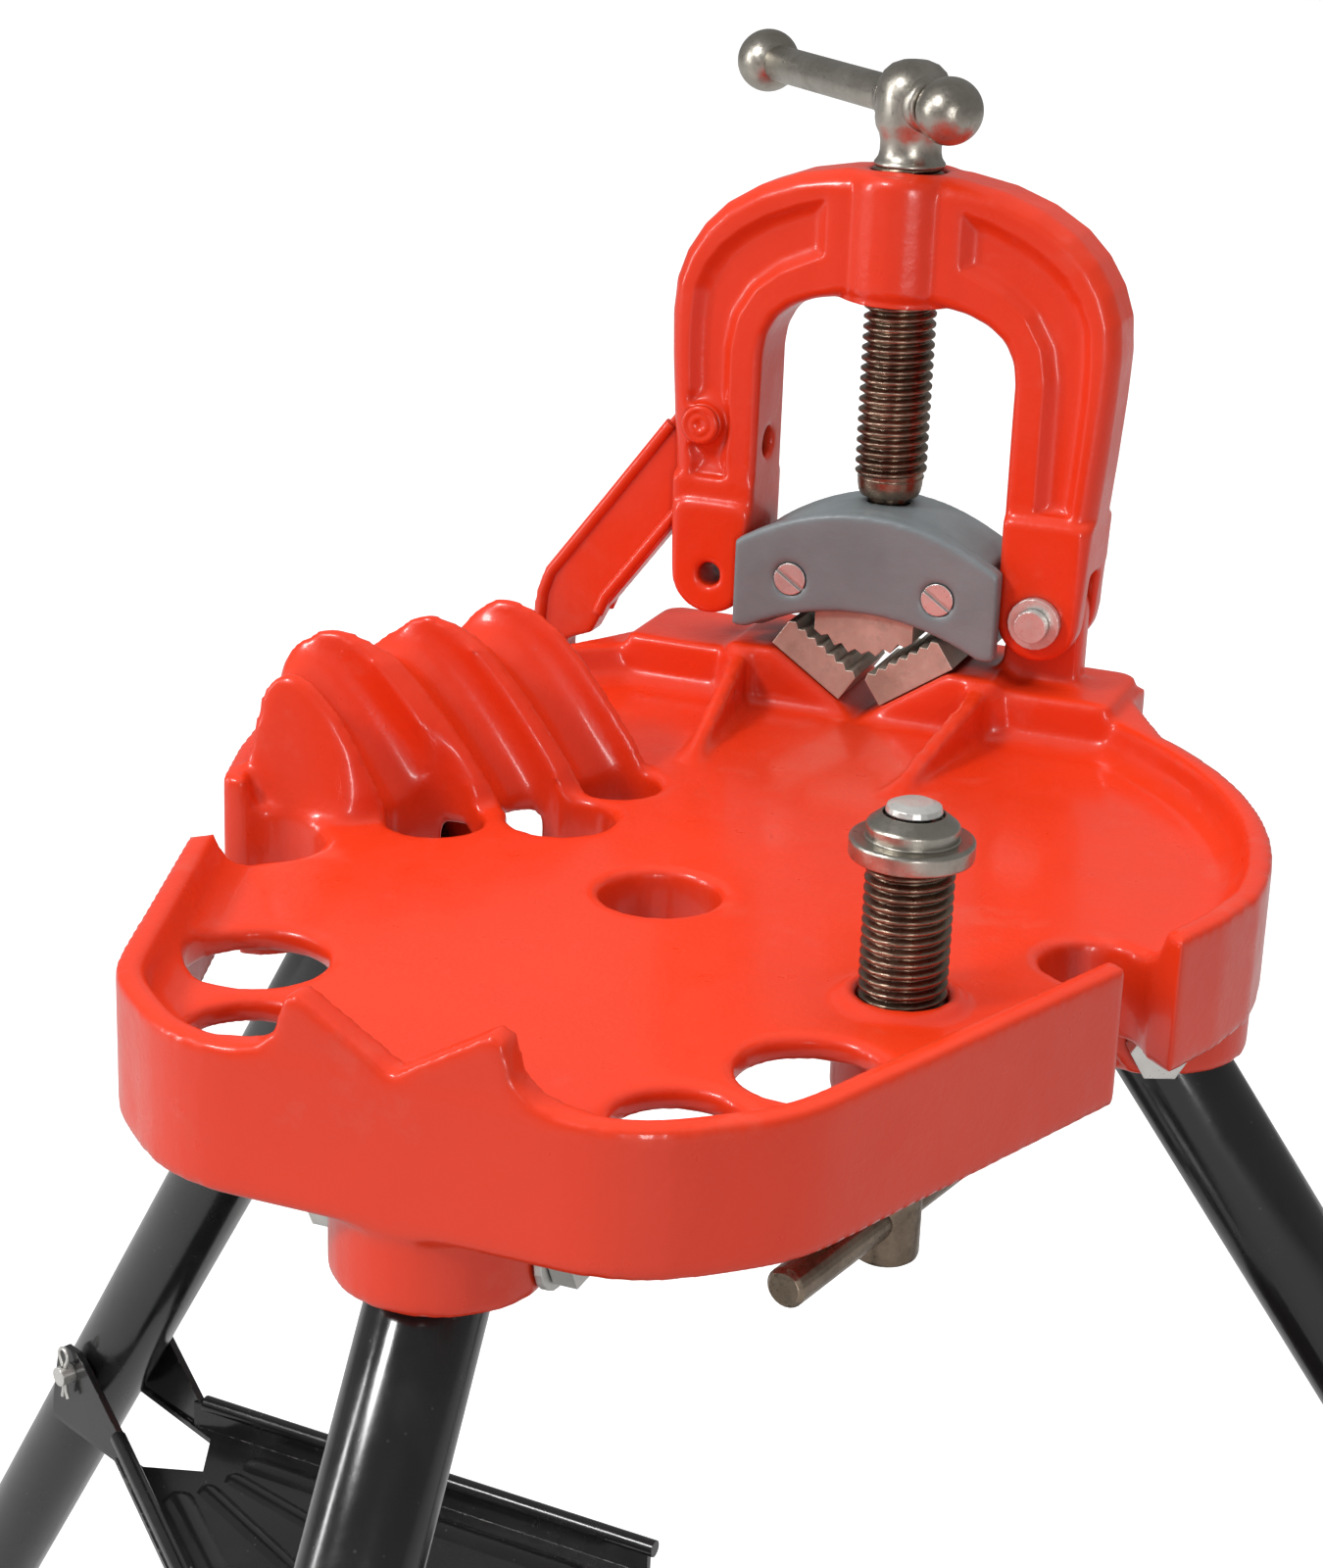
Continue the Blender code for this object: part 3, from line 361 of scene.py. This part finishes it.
def crisp_look(node, width, segments=2):
    """Small rounded edges on machined, forged and stamped pieces."""
    obj = NODES[node]
    edge = obj.modifiers.new("edge_break", "BEVEL")
    edge.width = width * MM
    edge.segments = segments
    edge.limit_method = "ANGLE"
    edge.angle_limit = math.radians(35)
    edge.use_clamp_overlap = True
    edge.harden_normals = False


# The yoke's outlines as (x, z) in the tray's own millimetres, for its right half.
YOKE_Y, YOKE_HALF_T, BOSS_R = 207.0, 15.0, 21.0
YOKE_OUTER = ((76, 60), (77, 80), (78.5, 98), (80, 120), (80.5, 135), (79.5, 147), (76, 157), (70, 166.5),
              (62, 174.5), (50, 181.8), (36, 187), (20, 190), (0, 191.3))
YOKE_INNER = ((0, 147.2), (17, 147), (27, 145.3), (35, 142), (41, 137.2), (44.5, 130.5), (45.5, 123),
              (45.5, 60))
YOKE_SUNK = ((69.5, 78), (71, 100), (72, 120), (72, 134), (71, 145), (67.5, 153.5), (62, 161), (55, 167),
             (46, 172.5), (34, 177.5), (24, 180), (24, 160), (39, 153), (48, 146), (54, 136), (56, 125),
             (56, 78))
HOOK_PIN = (-66.0, 97.0)
YOKE_OUTER_EDGE, YOKE_INNER_EDGE, BOSS_EDGE = 7.5, 4.0, 6.0     # radii of its rounded edges
VALLEY_DEPTH = 4.2        # of the sunk band between the yoke's two beads
ARCH_LOW = 78.0           # the arch is shaped above this height, the feet below it stay


def line_distance(points, line):
    """Distance of many 2-D points from a polyline."""
    best = np.full(len(points), 1e9)
    for a, b in zip(line, line[1:]):
        a, b = np.array(a, float), np.array(b, float)
        run = b - a
        share = np.clip(((points - a) @ run) / (run @ run), 0, 1)
        best = np.minimum(best, np.linalg.norm(points - a - share[:, None] * run, axis=1))
    return best


def inside(points, polygon):
    """Whether many 2-D points lie inside a closed polygon."""
    hit = np.zeros(len(points), bool)
    for (ax, az), (bx, bz) in zip(polygon, polygon[1:] + polygon[:1]):
        crosses = (az > points[:, 1]) != (bz > points[:, 1])
        with np.errstate(divide="ignore", invalid="ignore"):
            at = ax + (points[:, 1] - az) * (bx - ax) / (bz - az)
        hit ^= crosses & (points[:, 0] < at)
    return hit


def smooth_step(value, start, end):
    """0 before the start, 1 after the end and a soft ramp between them."""
    share = np.clip((value - start) / (end - start), 0, 1)
    return share * share * (3 - 2 * share)


def roundover(distance, radius):
    """How far a face drops near an edge of a given radius."""
    near = np.clip(radius - distance, 0, radius)
    return radius - np.sqrt(np.maximum(radius * radius - near * near, 0))


def remeshed(node, name, voxel, relax):
    """New object with a voxel skin of a node's shape and softened corners."""
    made = bpy.data.objects.new(name, NODES[node].data.copy())
    bpy.context.scene.collection.objects.link(made)
    skin = made.modifiers.new("skin", "REMESH")
    skin.mode = "VOXEL"
    skin.voxel_size = voxel * MM
    soften = made.modifiers.new("soften", "SMOOTH")
    soften.factor = 0.5
    soften.iterations = relax
    bpy.context.view_layer.update()
    shape = bpy.data.meshes.new_from_object(made.evaluated_get(bpy.context.evaluated_depsgraph_get()))
    made.modifiers.clear()
    made.data = shape
    shape.name = name
    for face in shape.polygons:
        face.use_smooth = True
    return made


def yoke_skin():
    """The yoke's casting: heavy rounded edges and a soft valley between its two beads."""
    made = remeshed("yoke", "yoke_casting", 1.0, 3)
    count = len(made.data.vertices)
    co = np.empty(count * 3, np.float64)
    made.data.vertices.foreach_get("co", co)
    co = co.reshape(-1, 3)
    local = (co - np.array(ORIGIN)) / MM
    side = np.column_stack((np.abs(local[:, 0]), local[:, 2]))
    depth = local[:, 1] - YOKE_Y
    outer = line_distance(side, YOKE_OUTER)
    inner = line_distance(side, YOKE_INNER)
    sunk = np.where(inside(side, list(YOKE_SUNK)), line_distance(side, YOKE_SUNK + YOKE_SUNK[:1]), 0)
    inner_drop = roundover(inner, YOKE_INNER_EDGE)
    limit = YOKE_HALF_T - roundover(outer, YOKE_OUTER_EDGE) - inner_drop
    swell = np.sqrt(np.maximum(0, BOSS_R ** 2 - local[:, 0] ** 2))
    limit = np.maximum(limit, swell - roundover(outer, BOSS_EDGE) - inner_drop)
    valley = YOKE_HALF_T - VALLEY_DEPTH * smooth_step(sunk, -1.5, 5.0)
    boss = np.hypot(local[:, 0] - HOOK_PIN[0], local[:, 2] - HOOK_PIN[1])
    above, beside = smooth_step(side[:, 1], ARCH_LOW, 83), smooth_step(side[:, 0], 19, 27)
    free = above * beside * smooth_step(boss, 8.5, 13)
    face = np.abs(depth) > YOKE_HALF_T - 4.5
    wanted = np.minimum(np.abs(depth), limit)
    wanted = np.where(face, np.minimum(limit, wanted + (valley - wanted) * free), wanted)
    arch = side[:, 1] > ARCH_LOW
    local[:, 1] = np.where(arch, YOKE_Y + np.sign(depth) * wanted, local[:, 1])
    made.data.vertices.foreach_set("co", (local * MM + np.array(ORIGIN)).ravel())
    relax = made.modifiers.new("relax", "SMOOTH")
    relax.factor = 0.5
    relax.iterations = 8
    paint(made, "red_enamel")
    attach(made, "yoke")
    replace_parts(made, "yoke")


def at(x, y, z):
    """A point in the tray's own millimetres as one in metres."""
    return ORIGIN + Vector((x, y, z)) * MM


def yoke_boss_ring():
    """Turned face of the boss around the latch pin, with a ring and a centre mark."""
    face = [(6.9, -0.6), (6.9, 0.5), (6.3, 1.1), (5.3, 1.2), (4.6, 0.7), (4.0, 0.7), (3.4, 1.1), (2.3, 1.1),
            (1.7, 0.7), (1.0, 0.4), (0.01, 0.3)]
    origin = at(HOOK_PIN[0], YOKE_Y - YOKE_HALF_T - 1.2, HOOK_PIN[1])
    bm = turned([(r * MM, h * MM) for r, h in face], axis_matrix(origin, (0, -1, 0)), 48)
    new_piece("yoke_boss_ring", bm, "red_enamel", "yoke", 50)


HOOK_EDGES = {
    "outer": ((-81, 93.5), (-104, 62.5), (-126.5, 32.5), (-129.6, 24), (-130.6, 12), (-130.6, -12)),
    "inner": ((-63, 80.5), (-84, 53), (-104.5, 26), (-107.5, 19))}
HOOK_BEAD_R, HOOK_BEAD_OFF = 2.3, 5.0      # wire radius, and distance from the bar's middle plane


def hook_beads():
    """Raised edges on both faces of the latch bar."""
    for face, offset in (("front", -HOOK_BEAD_OFF), ("back", HOOK_BEAD_OFF)):
        for name, line in HOOK_EDGES.items():
            bm = tube([at(x, YOKE_Y + offset, z) for x, z in line], HOOK_BEAD_R * MM)
            new_piece(f"hook_bead_{name}_{face}", bm, "red_enamel", "hook", 60)


# --- screws, handle and legs --------------------------------------------------------------------------
def clamp_pieces():
    """Clamp screw with its thread, swivel collar and forged head with the handle's eye."""
    low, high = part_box("clamp_screw")
    x, y = (low[0] + high[0]) / 2, (low[1] + high[1]) / 2
    place = Matrix.Translation((x, y, 0))
    tip, top = low[2], high[2]
    shank = threaded(THREAD_R, CLAMP_THREAD_DEPTH, CLAMP_PITCH, tip + 15.0 * MM, top - 34.6 * MM, place)
    screw = new_piece("clamp_screw_thread", shank, "oiled_steel", "clamp_screw")
    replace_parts(screw, "clamp_screw")
    plain = [(6.6, 0.0), (6.8, 0.6), (6.8, 8.8), (10.2, 9.0), (10.9, 10.4), (11.4, 13.0), (11.4, 18.0)]
    tip_bm = turned([(r * MM, tip + h * MM) for r, h in plain], place)
    new_piece("clamp_screw_tip", tip_bm, "oiled_steel", "clamp_screw")
    head = [(11.4, 36.0), (12.2, 35.2), (12.2, 34.4), (11.6, 33.6), (10.9, 32.5), (10.5, 30.5), (10.5, 27.5),
            (11.0, 25.0), (12.3, 22.5), (12.8, 20.0), (12.8, 11.0), (12.2, 7.5), (10.6, 4.2), (8.0, 1.8),
            (4.6, 0.5), (0.01, 0.0)]
    head_bm = turned([(r * MM, top - d * MM) for r, d in head], place)
    new_piece("clamp_screw_head", head_bm, "forged_steel", "clamp_screw", 60)
    slide = JOINTS["handle_slide"]["axis"]
    eye_centre = (x, y, top - 14.0 * MM)
    lip = [(7.0, 9.5), (9.6, 10.0), (9.3, 12.6), (8.4, 13.6), (7.2, 13.8), (6.9, 13.2), (6.8, 9.0)]
    for name, sign in (("near", 1), ("far", -1)):
        out = [c * sign for c in slide]
        lip_bm = turned([(r * MM, d * MM) for r, d in lip], axis_matrix(eye_centre, out), 48)
        new_piece(f"clamp_head_eye_{name}", lip_bm, "forged_steel", "clamp_screw", 50)


def handle_pieces():
    """Tommy bar with its necks and the two balls, along the handle's own slide axis."""
    slide = Vector(JOINTS["handle_slide"]["axis"])
    near, far = Vector(middle("handle_ball_near")), Vector(middle("handle_ball_far"))
    span = (near - far).length / MM
    bar = [(5.9, 6.0), (6.5, 8.0), (6.45, span * 0.5), (6.5, span - 8.0), (5.9, span - 6.0)]
    bar_bm = turned([(r * MM, d * MM) for r, d in bar], axis_matrix(far, slide), 48)
    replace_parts(new_piece("handle_bar_round", bar_bm, "forged_steel", "handle"), "handle_bar")
    rise = BALL_R * math.sin(math.radians(BALL_HIGH))
    steps = 24
    arc = [math.radians(BALL_LOW + (BALL_HIGH - BALL_LOW) * i / steps) for i in range(steps + 1)]
    profile = [(6.2, -11.6)] + [(BALL_R * math.cos(t), BALL_R * math.sin(t)) for t in arc]
    profile += [(3.8, rise + 0.25), (0.01, rise + 0.1)]
    for name, centre, out in (("near", near, slide), ("far", far, -slide)):
        ball_bm = turned([(r * MM, d * MM) for r, d in profile], axis_matrix(centre, out), 56)
        ball = new_piece(f"handle_ball_{name}_round", ball_bm, "forged_steel", "handle", 40)
        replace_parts(ball, f"handle_ball_{name}")


def brace_pieces():
    """Brace screw with its thread and plain lower end, and the turned cap on top of it."""
    low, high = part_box("brace_screw")
    x, y = (low[0] + high[0]) / 2, (low[1] + high[1]) / 2
    place = Matrix.Translation((x, y, 0))
    bottom, top = low[2], high[2]
    thread = threaded(THREAD_R, BRACE_THREAD_DEPTH, BRACE_PITCH, bottom + 50.0 * MM, top - 10.7 * MM, place)
    piece = new_piece("brace_screw_thread", thread, "oiled_steel", "brace_screw")
    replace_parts(piece, "brace_screw")
    shank = [(8.2, 0.0), (9.4, 0.9), (9.8, 2.2), (9.8, 24.0), (9.0, 27.0), (7.9, 29.0), (7.9, 45.5),
             (8.4, 47.0), (11.0, 50.4)]
    shank_bm = turned([(r * MM, bottom + h * MM) for r, h in shank], place)
    new_piece("brace_screw_shank", shank_bm, "oiled_steel", "brace_screw")
    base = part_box("brace_cap")[0][2]
    cap = [(12.2, 0.0), (16.6, 0.0), (17.4, 0.5), (17.6, 1.2), (17.6, 5.0), (17.3, 5.6), (16.6, 5.9),
           (13.3, 6.0), (13.0, 6.3), (13.0, 9.6), (12.6, 10.2), (9.4, 12.7), (8.8, 13.0), (8.5, 12.4),
           (8.45, 10.6), (5.0, 10.5)]
    cap_bm = turned([(r * MM, base + h * MM) for r, h in cap], place)
    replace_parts(new_piece("brace_cap_round", cap_bm, "forged_steel", "brace_cap", 18), "brace_cap")


def leg_pieces():
    """Round leg tubes from their upper eye down to the foot."""
    profile = [(13.3, -15.4), (16.2, -15.8), (LEG_TUBE_R, -15.0)]
    profile += [(LEG_TUBE_R, d) for d in (120.0, 340.0, 560.0, LEG_REACH)]
    for leg in LEGS:
        pivot = Vector(JOINTS[f"{leg}_leg_fold"]["pos_m"])
        pin = Vector(JOINTS[f"{leg}_leaf_fold"]["pos_m"])
        along = (pin - pivot).normalized()
        tube_bm = turned([(r * MM, d * MM) for r, d in profile], axis_matrix(pivot, along))
        piece = new_piece(f"{leg}_leg_tube", tube_bm, "black_enamel", f"{leg}_leg", 50)
        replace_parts(piece, f"{leg}_leg")


def tube(points, radius, sides=14):
    """Round wire through points, in any direction, with closed ends."""
    bm = bmesh.new()
    path = [Vector(p) for p in points]
    rings = []
    side = None
    for i, here in enumerate(path):
        along = (path[min(i + 1, len(path) - 1)] - path[max(i - 1, 0)]).normalized()
        if side is None:
            side = along.orthogonal().normalized()
        side = (side - along * side.dot(along)).normalized()
        up = along.cross(side)
        rings.append([bm.verts.new(here + radius * (math.cos(t) * side + math.sin(t) * up))
                      for t in (math.tau * k / sides for k in range(sides))])
    for low, high in zip(rings, rings[1:]):
        for k in range(sides):
            m = (k + 1) % sides
            bm.faces.new((low[k], low[m], high[m], high[k]))
    bm.faces.new(rings[0])
    bm.faces.new(rings[-1])
    return bm


def pin_frame(leg):
    """Matrix of a leaf's pin frame: x outwards, y along the pin, z up."""
    axis = Vector(JOINTS[f"{leg}_leaf_fold"]["axis"])
    up = Vector((0, 0, 1))
    out = axis.cross(up)
    turn = Matrix((out, axis, up)).transposed().to_4x4()
    return Matrix.Translation(Vector(JOINTS[f"{leg}_leaf_fold"]["pos_m"])) @ turn


LEAF_FLOOR = -25.0        # under the tray pin
LEAF_NARROW, LEAF_WIDE = (-34.0, 21.4), (-229.0, 92.8)     # ends of its side walls, in plan
BEAD_R, BEAD_LIFT, BEAD_STEPS = 3.4, 10.2, 24
LEAF_RIBS = (             # name, start and end in the leaf's plan, half width
    ("long", (-66, 17.0), (-214, 70.0), 7.0),
    ("short", (-70, 6.0), (-206, 20.0), 5.0))
RIB_HEIGHT, RIB_SUNK = 2.3, 0.25
RIB_STEPS, RIB_LANES = 40, 10


def stamped_rib(a, b, width):
    """Low rounded rib from a to b that fades out at both ends."""
    bm = bmesh.new()
    along = (b - a).normalized()
    across = along.cross(Vector((0, 0, 1)))
    length = (b - a).length
    rows = []
    for i in range(RIB_STEPS + 1):
        d = length * i / RIB_STEPS
        taper = math.sqrt(max(0.0, 1 - max(0.0, 1 - min(d, length - d) / width) ** 2))
        row = []
        for k in range(RIB_LANES + 1):
            t = -1 + 2 * k / RIB_LANES
            lift = RIB_HEIGHT * taper * (1 - t * t) ** 1.2 - RIB_SUNK
            aside = across * (t * width * max(taper, 0.02))
            row.append(bm.verts.new(a + along * d + aside + Vector((0, 0, lift))))
        rows.append(row)
    for low, high in zip(rows, rows[1:]):
        for k in range(RIB_LANES):
            bm.faces.new((low[k], low[k + 1], high[k + 1], high[k]))
    return bm


def leaf_details(leg):
    """Rolled beads along a leaf's side walls and stamped ribs on its floor."""
    scaled = pin_frame(leg) @ Matrix.Scale(MM, 4)
    (x0, y0), (x1, y1) = LEAF_NARROW, LEAF_WIDE
    for side, word in ((-1, "a"), (1, "b")):
        shares = [i / BEAD_STEPS for i in range(BEAD_STEPS + 1)]
        roll = [(x0 + (x1 - x0) * s, side * (y0 + (y1 - y0) * s), LEAF_FLOOR + BEAD_LIFT) for s in shares]
        pieces = [("bead", tube(roll, BEAD_R))]
        for name, start, end, width in LEAF_RIBS:
            a = Vector((start[0], side * start[1], LEAF_FLOOR))
            b = Vector((end[0], side * end[1], LEAF_FLOOR))
            pieces.append((f"rib_{name}", stamped_rib(a, b, width)))
        for name, bm in pieces:
            bmesh.ops.transform(bm, matrix=scaled, verts=bm.verts)
            new_piece(f"{leg}_leaf_{name}_{word}", bm, "black_enamel", f"{leg}_tray_leaf", 60)


COTTER_Y = 24.6           # along the tray pin, from its middle
COTTER_WIRE_R = 0.85
COTTER_DOWN = ((1.6, -10.4), (0.7, -6.8), (0.55, -2.0), (0.55, 3.0), (1.6, 5.6))
COTTER_UP = ((-1.6, 5.6), (-0.55, 3.0), (-0.55, -2.0), (-1.0, -6.8), (-2.4, -10.0))
COTTER_EYE_STEPS = 12


def cotter_pieces():
    """Split pins: an eye above the tray pin and two legs spread below it."""
    turns = [math.radians(-40 + 260 * i / COTTER_EYE_STEPS) for i in range(COTTER_EYE_STEPS + 1)]
    eye = [(3.0 * math.cos(t), 8.9 + 3.2 * math.sin(t)) for t in turns]
    path = [(x, COTTER_Y, z) for x, z in list(COTTER_DOWN) + eye + list(COTTER_UP)]
    for leg in LEGS:
        bm = tube(path, COTTER_WIRE_R, 12)
        bmesh.ops.transform(bm, matrix=pin_frame(leg) @ Matrix.Scale(MM, 4), verts=bm.verts)
        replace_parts(new_piece(f"{leg}_split_pin", bm, "zinc", f"{leg}_leg", 60), f"{leg}_tray_cotter")


# --- stage --------------------------------------------------------------------------------------------
def area_light(name, place, target, size, power):
    """Rectangular light at a place, turned to a target."""
    data = bpy.data.lights.new(name, "AREA")
    data.shape = "RECTANGLE"
    data.size, data.size_y = size
    data.energy = power
    light = bpy.data.objects.new(name, data)
    bpy.context.scene.collection.objects.link(light)
    light.location = place
    aim = Vector(target) - Vector(place)
    light.rotation_euler = aim.to_track_quat("-Z", "Y").to_euler()
    return light


FLOOR_HALF = 30.0
FLOOR_SEEN, FLOOR_BOUNCE = 0.97, 0.42      # albedo for the camera, and for all other rays
AMBIENT = 0.26                             # world strength for all rays but the camera's
AIM = (0.0, 0.15, 0.65)


def stage():
    """White floor and world, a soft sky of light from above and three small studio lights."""
    mesh = bpy.data.meshes.new("studio_floor")
    half = FLOOR_HALF
    corners = [(-half, -half, 0), (half, -half, 0), (half, half, 0), (-half, half, 0)]
    mesh.from_pydata(corners, [], [(0, 1, 2, 3)])
    floor = bpy.data.objects.new("studio_floor", mesh)
    bpy.context.scene.collection.objects.link(floor)
    plain = bpy.data.materials.new("studio_floor")
    plain.use_nodes = True
    nodes, links = plain.node_tree.nodes, plain.node_tree.links
    shader = nodes["Principled BSDF"]
    rays = nodes.new("ShaderNodeLightPath")
    albedo = nodes.new("ShaderNodeMapRange")
    albedo.inputs["To Min"].default_value = FLOOR_BOUNCE
    albedo.inputs["To Max"].default_value = FLOOR_SEEN
    links.new(rays.outputs["Is Camera Ray"], albedo.inputs["Value"])
    links.new(albedo.outputs["Result"], shader.inputs["Base Color"])
    shader.inputs["Roughness"].default_value = 0.9
    floor.data.materials.append(plain)
    world = bpy.data.worlds.new("studio")
    bpy.context.scene.world = world
    world.use_nodes = True
    nodes, links = world.node_tree.nodes, world.node_tree.links
    background = nodes["Background"]
    background.inputs["Color"].default_value = (1.0, 1.0, 1.0, 1)
    rays = nodes.new("ShaderNodeLightPath")
    strength = nodes.new("ShaderNodeMath")
    strength.operation = "MAXIMUM"
    links.new(rays.outputs["Is Camera Ray"], strength.inputs[0])
    strength.inputs[1].default_value = AMBIENT
    links.new(strength.outputs["Value"], background.inputs["Strength"])
    overhead = area_light("overhead", (-1.5, 4.0, 8.0), (-1.5, 4.0, 0.0), (16.0, 16.0), 1500)
    overhead.visible_glossy = False
    area_light("key", (-1.2, -1.3, 2.2), AIM, (0.45, 0.45), 28)
    area_light("front_soft", (1.5, -2.6, 1.0), AIM, (0.25, 1.2), 24)
    area_light("left_strip", (-2.4, -0.9, 1.2), AIM, (0.20, 1.3), 18)
    bpy.context.scene.view_settings.view_transform = "Standard"


CAMERA_PLACE = (0.32107, -0.82555, 0.35288)     # from the tray's centre hole, in metres
CAMERA_TURN = (22.5, 19.7, 1.8)                # azimuth, downward pitch and roll, in degrees
CAMERA_LENS, CAMERA_SHIFT = 72.3, (0.0393, -0.0038)


def camera():
    """Three-quarter view from the front right, slightly above the tray."""
    data = bpy.data.cameras.new("camera")
    data.lens = CAMERA_LENS
    data.sensor_width = 36.0
    data.shift_x, data.shift_y = CAMERA_SHIFT
    data.clip_end = 50.0
    view = bpy.data.objects.new("camera", data)
    bpy.context.scene.collection.objects.link(view)
    azimuth, pitch, roll = (math.radians(a) for a in CAMERA_TURN)
    flat = math.cos(pitch)
    back = Vector((math.sin(azimuth) * flat, -math.cos(azimuth) * flat, math.sin(pitch)))
    right = Vector((math.cos(azimuth), math.sin(azimuth), 0))
    up = back.cross(right)
    rolled_right = math.cos(roll) * right + math.sin(roll) * up
    rolled_up = math.cos(roll) * up - math.sin(roll) * right
    turn = Matrix((rolled_right, rolled_up, back)).transposed().to_4x4()
    view.matrix_world = Matrix.Translation(ORIGIN + Vector(CAMERA_PLACE)) @ turn
    bpy.context.scene.camera = view


# --- build --------------------------------------------------------------------------------------------
for entry in frame["record"]["subparts"]:
    paint(NODES[entry["node"]], entry["material_slot"])

cast_look("base_casting", 1.7, 7)
yoke_skin()
yoke_boss_ring()
hook_beads()
cast_look("hook", 1.0, 6)
cast_look("jaw_saddle", 0.8, 14)
for leg in LEGS:
    crisp_look(f"{leg}_leg_bolt", 0.5)
    crisp_look(f"{leg}_leg_washer", 0.35)
    crisp_look(f"{leg}_leg_nut", 0.6)
    crisp_look(f"{leg}_tray_leaf", 0.7)
    crisp_look(f"{leg}_tray_pin", 0.4)
    crisp_look(f"{leg}_foot", 1.2)
for node in ("hinge_washer", "hinge_pin", "hook_pin", "saddle_screw_left", "saddle_screw_right",
             "brace_rivet"):
    crisp_look(node, 0.4)
for node in ("upper_jaw", "lower_jaw_left", "lower_jaw_right"):
    crisp_look(node, 0.25, 1)
crisp_look("tray_plate", 0.8)
clamp_pieces()
handle_pieces()
brace_pieces()
leg_pieces()
for leg in LEGS:
    leaf_details(leg)
cotter_pieces()
stage()
camera()
